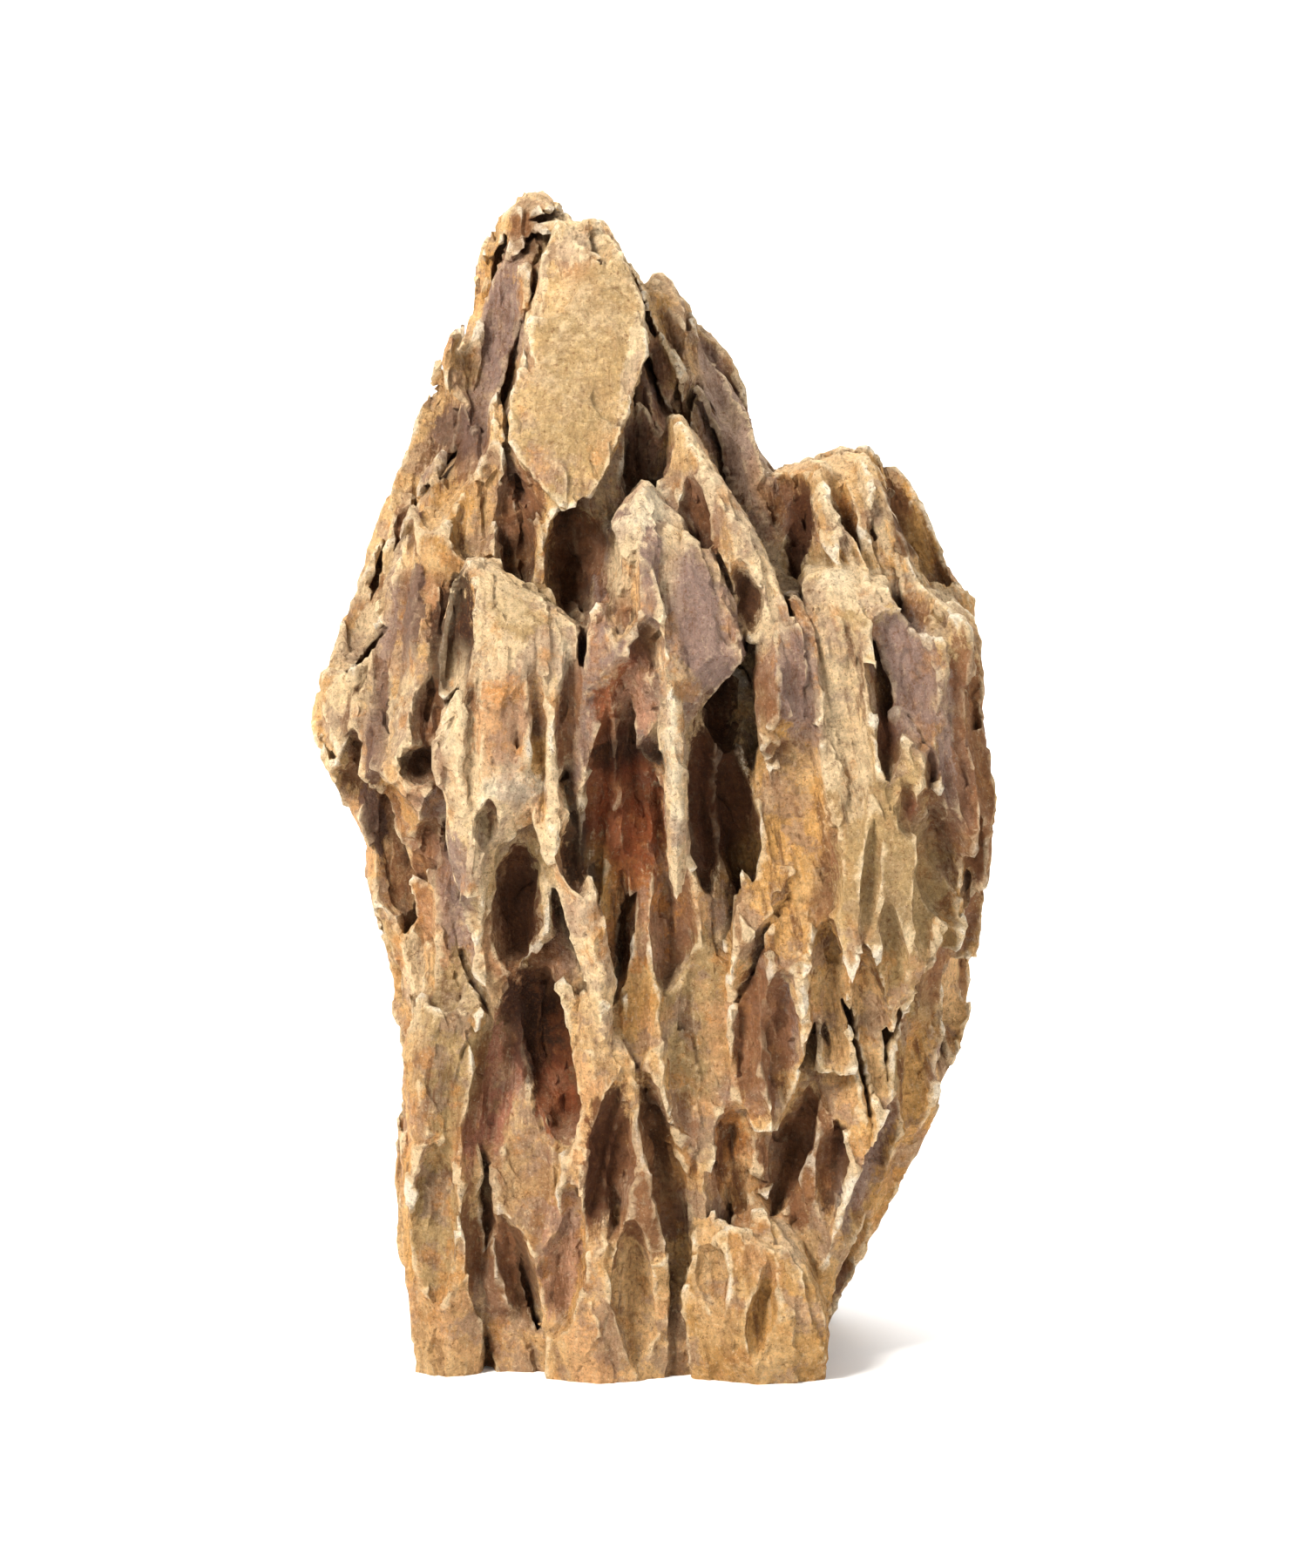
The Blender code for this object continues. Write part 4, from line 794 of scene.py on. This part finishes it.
# colours are linear; sizes are in mm
finish = {
    "palette": {
        # palest cream, laid as painted highlight on crests and tips
        "chalkHighlight": (0.97, 0.81, 0.55),
        "cream": (0.84, 0.62, 0.36),
        "tan": (0.74, 0.44, 0.185),
        "khaki": (0.50, 0.325, 0.138),
        "ochre": (0.68, 0.36, 0.11),
        "orange": (0.62, 0.25, 0.07),
        "peach": (0.72, 0.38, 0.17),
        "rust": (0.27, 0.062, 0.018),
        "wine": (0.20, 0.046, 0.026),
        "brown": (0.28, 0.118, 0.050),
        "dark": (0.105, 0.036, 0.014),
        # the blackest brown, laid as painted shadow in the deepest undercut hollows
        "paintedShadow": (0.040, 0.015, 0.007),
        "mauve": (0.33, 0.215, 0.170),
        "plum": (0.19, 0.110, 0.082),
        "taupe": (0.58, 0.40, 0.30),
        "pink": (0.52, 0.27, 0.16),
        "rose": (0.46, 0.185, 0.11),
    },
    "shadeSpread": 0.14,  # how far two faces of one tone differ
    "toneRounds": 2,  # smoothing rounds over the seams between two tones
    # stains on the front, with patches of painted shadow and painted highlight among them, by tone: across,
    # height, width, length, lean of the top to the right
    "patches": {
        "brown": (
            (-22.2, 199, 8, 13, 0), (-44, 148, 3.5, 12, 12), (-13, 144, 13, 13, 0), (-22, 151, 8, 18, 6),
            (-37.2, 112, 6.4, 20, 4), (-14.2, 120, 4.5, 26, 4), (-5.4, 135, 4, 8, 0),
            (8.4, 150, 6, 16, -22), (22, 110.4, 4, 5, 0), (55, 108, 8, 56, -5), (-39.8, 90, 6, 14, 0),
            # (0.6, 38) is painted shadow over the foot
            (0.6, 38, 15, 38, 0), (19, 60, 11, 34, 4), (27, 38, 10, 26, 12), (-27.6, 20, 8, 26, -6),
        ),
        "cream": (
            (-13, 196.4, 11, 7, -40), (-3.4, 177, 3.2, 24, 12), (-20.4, 186, 3, 22, 12),
            (-52.5, 121, 8, 34, 16), (-42.5, 117, 4.4, 24, 6), (-33.5, 122, 4.5, 28, 4),
            (-5, 143, 6, 18, 10), (2, 140, 2.6, 24, 4), (13.4, 151, 3.2, 36, -32), (17.6, 143, 8, 15, -35),
            (31.8, 148, 3, 18, -25), (38.6, 149, 3, 18, -20), (19.2, 132.5, 5, 12, 14),
            (36.6, 137.4, 24, 7, -6), (30, 118, 5, 44, -2), (51, 134, 7, 5, 0), (-29.4, 95, 3.4, 22, 0),
            (-13.2, 77, 4, 30, -24), (-42, 68, 5, 20, -6),
        ),
        "mauve": (
            (-27, 180, 8.5, 28, 8), (-46.6, 128, 4.2, 20, 12), (7, 133.5, 11, 30, -15),
            (25.4, 120.5, 10, 28, -12), (44, 124, 11, 26, -15), (-34, 88, 7, 20, 0),
        ),
        "tan": (
            (-33, 175.6, 7, 13, 10), (6, 178, 3.4, 24, -18), (24.2, 108.6, 11, 8, 0), (34, 62, 11, 30, -6),
            (10, 18, 8, 22, 0),
        ),
        "plum": (
            (-33.8, 163.4, 12, 13, 0), (-47.6, 113.4, 5.2, 24, 4), (-41.4, 132, 3.8, 24, 7),
            (-49.2, 95, 4.6, 14, -12),
        ),
        "dark": (
            (-34.5, 160, 5, 7, 0), (11.4, 102, 12, 36, -4), (25.6, 147, 6, 14, 0), (43.4, 148, 6, 18, -15),
            (40, 113.4, 4.4, 10, 0), (-23, 84, 7.6, 23, 3), (-8.4, 41, 8, 30, 8),
        ),
        "ochre": (
            (-36.4, 150, 12, 15, 10), (-8.6, 86, 4, 20, -6), (14.6, 86, 7, 15, 0), (1.6, 188, 6, 9, -14),
            (48, 142, 4, 18, -22), (21, 89, 14, 15, 0), (3.4, 44, 3.4, 30, -10),
        ),
        "pink": (
            (-2, 159.5, 8, 22, 14), (-2.6, 119.5, 9, 14, 0), (-16, 22, 8, 26, 6),
        ),
        # painted shadow in the deep undercut hollows
        "paintedShadow": (
            (-34.6, 128, 9, 32, 8), (-4, 109.5, 15, 8, 0), (-12.8, 94, 6.2, 14, 0),
            (-20.4, 60.5, 13, 25, -13),
        ),
        "khaki": (
            (-21.5, 134.5, 15, 11, 0), (41, 88, 24, 34, 0), (-34.6, 58.5, 14, 34, 0), (-38, 26, 8, 26, 2),
        ),
        "peach": (
            (-25, 116, 13, 18, 0), (17.6, 156, 5, 20, -24),
        ),
        "orange": (
            (-25.6, 120, 4, 9, 8), (-2, 80, 14, 17, 0),
        ),
        # painted highlight on lit crests and tops
        "chalkHighlight": (
            (-24, 105, 13, 6, 0), (-35, 116, 2.6, 18, 4), (-14.8, 127, 3, 14, 8), (-1, 152.4, 9, 10, 0),
            (-4.6, 148.6, 7, 4, -30), (3.4, 108, 3, 36, -2), (32, 139, 10, 4, -4),
        ),
        "rust": (
            (-3.6, 98, 14, 30, 0), (-17, 49, 8, 18, -13),
        ),
        "taupe": (
            (13.6, 164, 11, 42, -21),
        ),
        "wine": (
            (44, 99.8, 4, 9, 0),
        ),
        "rose": (
            (-28.6, 47, 8, 20, 24),
        ),
    },
    "patchBack": 4,  # no patch lies behind this, or on a face that turns back further than this
    "patchTurn": 0.35,
    "washes": {
        "tan": (0.88, 0.58, 0.27, 1),
        "peach": (0.74, 0.38, 0.17, 1),
        "chalkHighlight": (0.96, 0.87, 0.71, 1),
        "crest": (0.92, 0.71, 0.43, 1),
        "ash": (0.37, 0.235, 0.165, 1),
        "rust": (0.38, 0.105, 0.028, 1),
        # very dark brown of the painted shade in the recesses
        "paintedShade": (0.060, 0.024, 0.010, 1),
        "earth": (0.20, 0.078, 0.028, 1),
        "umber": (0.17, 0.064, 0.024, 1),
        "amber": (0.62, 0.27, 0.068, 1),
    },
    # each layer's wash, its strength, and the values of its mask between which it fades in
    "layers": {
        "sand": ("tan", 0.60, 0.47, 0.62),
        "peach": ("peach", 0.60, 0.50, 0.64),
        "ash": ("ash", 0.58, 0.505, 0.575),
        "amber": ("amber", 0.60, 0.53, 0.64),
        "straw": ("tan", 0.45, 0.54, 0.68),
        "umber": ("umber", 1.0, 0.52, 0.62),
        "rust": ("rust", 0.45, 0.75, 1.15),
        "mottle": ("earth", 0.50, 0.52, 0.66),
        "darkStreak": ("earth", 0.55, 0.53, 0.66),
        "paleStreak": ("crest", 0.22, 0.54, 0.68),
        # painted light: faces that turn up are lighter, as if lit from above
        "paintedTopLight": ("crest", 0.45, 0.35, 0.80),
        # paler ridges: partly worn pale edges, partly painted highlight
        "crest": ("crest", 0.65, 1.5, 3.0),
        # painted highlight on the sharpest ridges
        "chalkHighlight": ("chalkHighlight", 0.60, 3.4, 4.8),
        # painted shade: darkens the spots that the walls round them hide from the sky
        "occlusionShade": ("paintedShade", 0.80, 0.52, 1.0),
        "darkSpeck": ("earth", 0.65, 0.56, 0.64),
        "paleSpeck": ("crest", 0.45, 0.57, 0.66),
    },
    "toneStrength": 0.90,  # how strongly scoops and patches take their own tones, and where they fade in
    "scoopFade": (0.10, 0.42),
    "patchFade": (0.02, 0.24),
    "paleFade": (0.15, 0.50),  # how light a tone has to be to take washes
    # noises of the stone: size, detail, roughness
    "noises": {
        "wash": (17, 4, 0.6),
        "ash": (9, 6, 0.65),
        "amber": (8, 7, 0.70),
        "mottle": (4.2, 6, 0.70),
        "spot": (1.7, 5, 0.70),
        "fine": (0.55, 5, 0.8),
        "speck": (0.8, 4, 0.8),
    },
    "flowNoises": {"umber": (6, 7, 0.70), "streak": (1.6, 5, 0.65)},
    "streakStretch": 6,
    "roughness": (0.74, 0.97),
    "shine": 0.18,
    "grainShade": 1.4,  # how strongly the grain, the spots and the flakes darken and lighten the stone
    "spotShade": 1.1,
    "flakeShade": 0.16,
    "grainHeight": 1.2,
    "streakHeight": 0.45,
    "mottleHeight": 0.7,
    "spotHeight": 0.9,
}


# from 0 in the open to 1 where walls all round hide the sky
def shelterOf(piece):
    tree = surfaceTree(piece)
    points, normals = readPoints(piece.data), readNormals(piece.data)
    sideways = np.cross(normals, np.where(np.abs(normals[:, 2:]) < 0.9, (0, 0, 1), (1, 0, 0)))
    sideways /= np.linalg.norm(sideways, axis=1)[:, None]
    upward = np.cross(normals, sideways)
    starts = (points + normals * skin["shelterLift"] * stone["mm"]).tolist()
    reach = skin["shelterReach"] * stone["mm"]
    hidden = np.zeros(len(points))
    for i in range(skin["shelterRays"]):
        high = (i + 0.5) / skin["shelterRays"]
        turn = i * math.pi * (3 - math.sqrt(5))
        flat = math.sqrt(1 - high)
        ways = sideways * flat * math.cos(turn) + upward * flat * math.sin(turn) + normals * math.sqrt(high)
        hits = [tree.ray_cast(start, way, reach)[3] for start, way in zip(starts, ways.tolist())]
        hidden += [0 if hit is None else 1 - hit / reach for hit in hits]
    return hidden / skin["shelterRays"]


# which triangle of the tree lies nearest to each place, and how far off
def nearestIn(tree, places):
    found = [tree.find_nearest(place) for place in places.tolist()]
    return np.array([hit[2] for hit in found]), np.array([hit[3] for hit in found])


# which of these kept surfaces each point lies on
def ownersOf(kept, places):
    counts = np.cumsum([0] + [len(part[0]) for part in kept])
    tree = BVHTree.FromPolygons(
        np.concatenate([part[0] for part in kept]).tolist(),
        np.concatenate([part[1] + start for part, start in zip(kept, counts)]).tolist(),
    )
    owners = np.repeat(np.arange(len(kept)), [len(part[1]) for part in kept])
    return owners[nearestIn(tree, places)[0]]


# how far inside its nearest patch each point on the front lies, and that patch's colour
def patchesOf(mm, normals):
    inside = np.full(len(mm), -1.0)
    tint = np.zeros((len(mm), 3))
    front = (mm[:, 1] < finish["patchBack"]) & (normals[:, 1] < finish["patchTurn"])
    for tone, ellipses in finish["patches"].items():
        for ellipse in ellipses:
            share = np.where(front, insideOf(mm.T * stone["mm"], *ellipse), -1)
            nearer = share > inside
            inside = np.where(nearer, share, inside)
            tint[nearer] = finish["palette"][tone]
    return inside, tint


mesh = body.data
edges = readEdges(mesh)
places = unworn[source]
facing = readNormals(mesh)
colours = np.array([finish["palette"][part[2]] for part in surfaces])
colours *= 1 + finish["shadeSpread"] * np.array([part[3] for part in surfaces])[:, None]
owner = ownersOf(surfaces, places)
bodyOwner = ownersOf(surfaces[:bodyCount], places)
depth = nearestIn(bodyTree, places)[1] / stone["mm"]
ownDepth = np.maximum(skin["scoopDeep"], np.array([part[4] for part in surfaces])[owner])
sunk = np.where(owner < bodyCount, 0, np.minimum(1, depth / ownDepth))
flake = slots[nearestIn(flakeTree, places)[0]] / skin["flakeShades"]
inside, tint = patchesOf(mm[source], facing)


def addAttribute(name, kind, field, values):
    attribute = mesh.attributes.new(name, kind, "POINT")
    attribute.data.foreach_set(field, values.astype(np.float32).ravel())


def addNumber(name, values, rounds=0):
    addAttribute(name, "FLOAT", "value", smoothed(values[:, None], edges, rounds))


def addColour(name, values):
    values = smoothed(values, edges, finish["toneRounds"])
    addAttribute(name, "FLOAT_COLOR", "color", np.hstack((values, np.ones((len(values), 1)))))


addColour("bodyTone", colours[bodyOwner])
addColour("scoopTone", colours[owner])
addColour("patchTone", tint)
addNumber("patch", inside)
addNumber("sunk", sunk, 1)
addNumber("flake", flake, 1)
addNumber("fineRidge", fineRidge[source])
addNumber("broadRidge", broadRidge[source])
addNumber("hollow", np.clip(depth / skin["hollowDeep"], 0, 1))
addNumber("calm", np.where(facing[:, 1] < -0.1, calmOf(mm[source]), 0))
# how far each face turns up, for the painted light on top
addNumber("ledge", np.clip(facing[:, 2], 0, 1), 2)
addNumber("shelter", shelterOf(body), 2)
print("stone: wear measured")


# one socket of a finish: sums on it add Math nodes, and node() adds any other node
class Wire:
    def __init__(self, tree, socket=None):
        self.tree = tree
        self.socket = socket

    def node(self, kind, settings, sockets, output=0):
        made = self.tree.nodes.new(kind)
        for name, value in settings.items():
            setattr(made, name, value)
        for name, value in sockets.items():
            if isinstance(value, Wire):
                self.tree.links.new(value.socket, made.inputs[name])
            else:
                made.inputs[name].default_value = value
        return Wire(self.tree, made.outputs[output])

    def math(self, operation, first, second):
        return self.node("ShaderNodeMath", {"operation": operation}, {0: first, 1: second})

    def __add__(self, other):
        return self.math("ADD", self, other)

    def __radd__(self, other):
        return self.math("ADD", other, self)

    def __sub__(self, other):
        return self.math("SUBTRACT", self, other)

    def __rsub__(self, other):
        return self.math("SUBTRACT", other, self)

    def __mul__(self, other):
        return self.math("MULTIPLY", self, other)

    def __rmul__(self, other):
        return self.math("MULTIPLY", other, self)

    def __truediv__(self, other):
        return self.math("DIVIDE", self, other)

    def __rtruediv__(self, other):
        return self.math("DIVIDE", other, self)

    def between(self, low, high):
        settings = {"interpolation_type": "SMOOTHSTEP"}
        return self.node("ShaderNodeMapRange", settings, {"Value": self, "From Min": low, "From Max": high})

    def blend(self, kind, share, first, second):
        settings = {"data_type": "RGBA", "blend_type": kind}
        return self.node("ShaderNodeMix", settings, {0: share, 6: first, 7: second}, 2)

    def mixed(self, first, second):
        return self.blend("MIX", self, first, second)

    def grain(self, size, detail, rough):
        sockets = {"Vector": self, "Scale": 1 / size, "Detail": detail, "Roughness": rough}
        return self.node("ShaderNodeTexNoise", {}, sockets, "Fac")


# washes laid over a colour, each by its own mask, weakened by its weight
def washed(colour, masks):
    for name, (mask, weight) in masks.items():
        wash, strength, low, high = finish["layers"][name]
        share = mask.between(low, high) * strength
        if weight:
            share = share * weight
        colour = share.mixed(colour, finish["washes"][wash])
    return colour


def stoneFinish():
    material = bpy.data.materials.new("dragonStone")
    material.use_nodes = True
    tree = material.node_tree
    shader = tree.nodes["Principled BSDF"]
    start = Wire(tree)
    coordinates = start.node("ShaderNodeTexCoord", {}, {}, "Object")
    inMm = {0: coordinates, "Scale": 1 / stone["mm"]}
    place = start.node("ShaderNodeVectorMath", {"operation": "SCALE"}, inMm)
    across, along, height = [place.node("ShaderNodeSeparateXYZ", {}, {0: place}, way) for way in "XYZ"]
    summitX, summitY, summitZ = stone["summit"]
    climb = summitZ / (summitZ - height)
    drawn = {"X": (across - summitX) * climb, "Y": (along - summitY) * climb}
    flow = start.node("ShaderNodeCombineXYZ", {}, {**drawn, "Z": height / finish["streakStretch"]})

    def reading(name, output):
        return start.node("ShaderNodeAttribute", {"attribute_name": name}, {}, output)

    shapes = ("fineRidge", "broadRidge", "hollow", "shelter", "ledge")
    fineRidge, broadRidge, hollow, shelter, ledge = [reading(name, "Fac") for name in shapes]
    flake, sunk, patch, calm = [reading(name, "Fac") for name in ("flake", "sunk", "patch", "calm")]
    tones = [reading(name, "Color") for name in ("bodyTone", "scoopTone", "patchTone")]
    wash, ash, amber, mottle, spot, fine, speck = [place.grain(*n) for n in finish["noises"].values()]
    umber, streak = [flow.grain(*n) for n in finish["flowNoises"].values()]
    rough = mottle * 0.6 + spot * 0.4  # breaks up the edge of every layer
    lively = 1 - calm * 0.75  # how strongly the blotches show

    colour = washed(tones[0], {"sand": (wash, lively), "peach": (1 - wash, lively)})
    within = (sunk + (rough - 0.5) * 1.8 + (streak - 0.5) * 0.8).between(*finish["scoopFade"])
    colour = (within * finish["toneStrength"]).mixed(colour, tones[1])
    stained = (patch + (rough - 0.5) * 2.0 + (streak - 0.5) * 0.8).between(*finish["patchFade"])
    colour = (stained * finish["toneStrength"]).mixed(colour, tones[2])
    red = start.node("ShaderNodeSeparateColor", {}, {0: colour}, "Red")
    pale = red.between(*finish["paleFade"])  # the washes and stains below lie on the pale tones
    lively = lively * pale
    deep = within * 0.30 + hollow * 0.4 + 0.36  # the brown stains lie mostly in the hollows
    # the pale washes, painted highlights among them, fade out in the hollows and on the dark tones
    bare = (1 - hollow * 0.7) * (pale * 0.8 + 0.2)
    colour = washed(colour, {
        "ash": (ash, lively),
        "amber": (amber, lively),
        "straw": (1 - amber, lively),
        "umber": (umber, lively * deep),
        "rust": (hollow + (mottle - 0.5) * 2.0, None),
        "mottle": (mottle, deep),
        "darkStreak": (streak, deep),
        "paleStreak": (1 - streak, lively),
        # painted light: faces that turn up are lighter, as if lit from above
        "paintedTopLight": (ledge + (rough - 0.5) * 2.0, bare),
        # paler ridges: partly worn pale edges, partly painted highlight
        "crest": (broadRidge * 0.3 + fineRidge * 0.7 + (rough - 0.5) * 4.0, bare),
        # painted highlight on the sharpest ridges, broken up by noise
        "chalkHighlight": (broadRidge * 0.5 + fineRidge * 0.6 + (wash - 0.5) * 7.0 + (spot - 0.5) * 5.0, bare),
        # painted shade in the recesses, by how much the walls round a spot hide the sky
        "occlusionShade": (shelter * 1.25 + hollow * 0.15 + (mottle - 0.5) * 0.6, None),
        "darkSpeck": (speck, None),
        "paleSpeck": (1 - speck, bare),
    })
    bright = 1 + (fine - 0.5) * finish["grainShade"] + (spot - 0.5) * finish["spotShade"]
    bright = bright + (flake - 0.5) * finish["flakeShade"]
    grey = start.node("ShaderNodeCombineColor", {}, {0: bright, 1: bright, 2: bright})
    colour = start.blend("MULTIPLY", 1.0, colour, grey)

    low, high = finish["roughness"]
    matt = low + (high - low) * (fine * 0.4 + mottle * 0.6).between(0.3, 0.65)
    relief = fine * finish["grainHeight"] + streak * finish["streakHeight"]
    relief = relief + mottle * finish["mottleHeight"] + spot * finish["spotHeight"]
    bump = start.node("ShaderNodeBump", {}, {"Height": relief, "Distance": stone["mm"], "Strength": 1.0})
    for name, wire in (("Base Color", colour), ("Roughness", matt), ("Normal", bump)):
        tree.links.new(wire.socket, shader.inputs[name])
    shader.inputs["Specular IOR Level"].default_value = finish["shine"]
    return material


mesh.materials.clear()
mesh.materials.append(stoneFinish())
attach(body, "root")
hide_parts("dragon_stone")
print("stone: finish made")

# in metres
ground = {
    "width": 6.0,
    "depth": 3.0,
    "wallHeight": 3.0,
    "bend": 0.5,  # radius of the sweep between floor and wall
    "bendSteps": 12,
    "colour": (0.86, 0.86, 0.855, 1),
    "roughness": 0.9,
}

bpy.ops.object.select_all(action="DESELECT")
bpy.ops.mesh.primitive_plane_add(size=1, location=(0, 0, 0))
floor = bpy.context.object
floor.name = "floor"
bpy.ops.object.mode_set(mode="EDIT")
bpy.ops.transform.resize(value=(ground["width"], ground["depth"], 1))
bpy.ops.object.mode_set(mode="OBJECT")
floorMesh = floor.data
for edge in floorMesh.edges:
    edge.select = all(floorMesh.vertices[i].co.y > 0 for i in edge.vertices)
for face in floorMesh.polygons:
    face.select = False
for vert in floorMesh.vertices:
    vert.select = vert.co.y > 0
bpy.ops.object.mode_set(mode="EDIT")
bpy.ops.mesh.select_mode(type="EDGE")
bpy.ops.mesh.extrude_edges_move(TRANSFORM_OT_translate={"value": (0, 0, ground["wallHeight"])})
bpy.ops.object.mode_set(mode="OBJECT")
bend = {"width": ground["bend"], "segments": ground["bendSteps"], "limit_method": "ANGLE"}
applyModifier(floor, "BEVEL", bend)
bpy.ops.object.shade_smooth()
floorFinish = bpy.data.materials.new("paleFloor")
floorFinish.use_nodes = True
floorShader = floorFinish.node_tree.nodes["Principled BSDF"]
floorShader.inputs["Base Color"].default_value = ground["colour"]
floorShader.inputs["Roughness"].default_value = ground["roughness"]
floor.data.materials.append(floorFinish)
print("floor made")

# in metres
studio = {
    "target": (0, 0, 0.100),
    "wallAim": (0, 1.5, 0.6),  # what the lamp for the backdrop points at
    "distance": 0.78,
    "lens": 100,  # in mm
    "elevation": 7,
    "nearest": 0.01,
    "sky": (1, 0.99, 0.97, 1),
    "skyStrength": 0.36,
    # place, width, watts, colour of each lamp
    "lamps": {
        "key": ((-0.75, -0.75, 0.95), 0.40, 38, (1, 0.965, 0.92)),
        "fill": ((0.95, -0.60, 0.35), 0.80, 6.5, (0.95, 0.97, 1)),
        "rim": ((0.30, 0.80, 0.70), 0.60, 5.0, (1, 0.98, 0.95)),
        "wall": ((0, 0.9, 2.2), 1.6, 60, (1, 1, 1)),
    },
}

scene = bpy.context.scene
target = Vector(studio["target"])
for name, (spot, width, watts, colour) in studio["lamps"].items():
    bpy.ops.object.light_add(type="AREA", location=spot)
    lamp = bpy.context.object
    lamp.name = name
    lamp.data.size = width
    lamp.data.energy = watts
    lamp.data.color = colour
    aim = target if name != "wall" else Vector(studio["wallAim"])
    lamp.rotation_euler = (aim - Vector(spot)).to_track_quat("-Z", "Y").to_euler()

rise = math.radians(studio["elevation"])
away = Vector((0, -math.cos(rise), math.sin(rise)))
bpy.ops.object.camera_add(location=target + away * studio["distance"])
camera = bpy.context.object
camera.rotation_euler = (target - camera.location).to_track_quat("-Z", "Y").to_euler()
camera.data.lens = studio["lens"]
camera.data.clip_start = studio["nearest"]
scene.camera = camera

world = bpy.data.worlds.new("sky")
world.use_nodes = True
world.node_tree.nodes["Background"].inputs["Color"].default_value = studio["sky"]
world.node_tree.nodes["Background"].inputs["Strength"].default_value = studio["skyStrength"]
scene.world = world
scene.view_settings.view_transform = "Standard"
print("studio set")
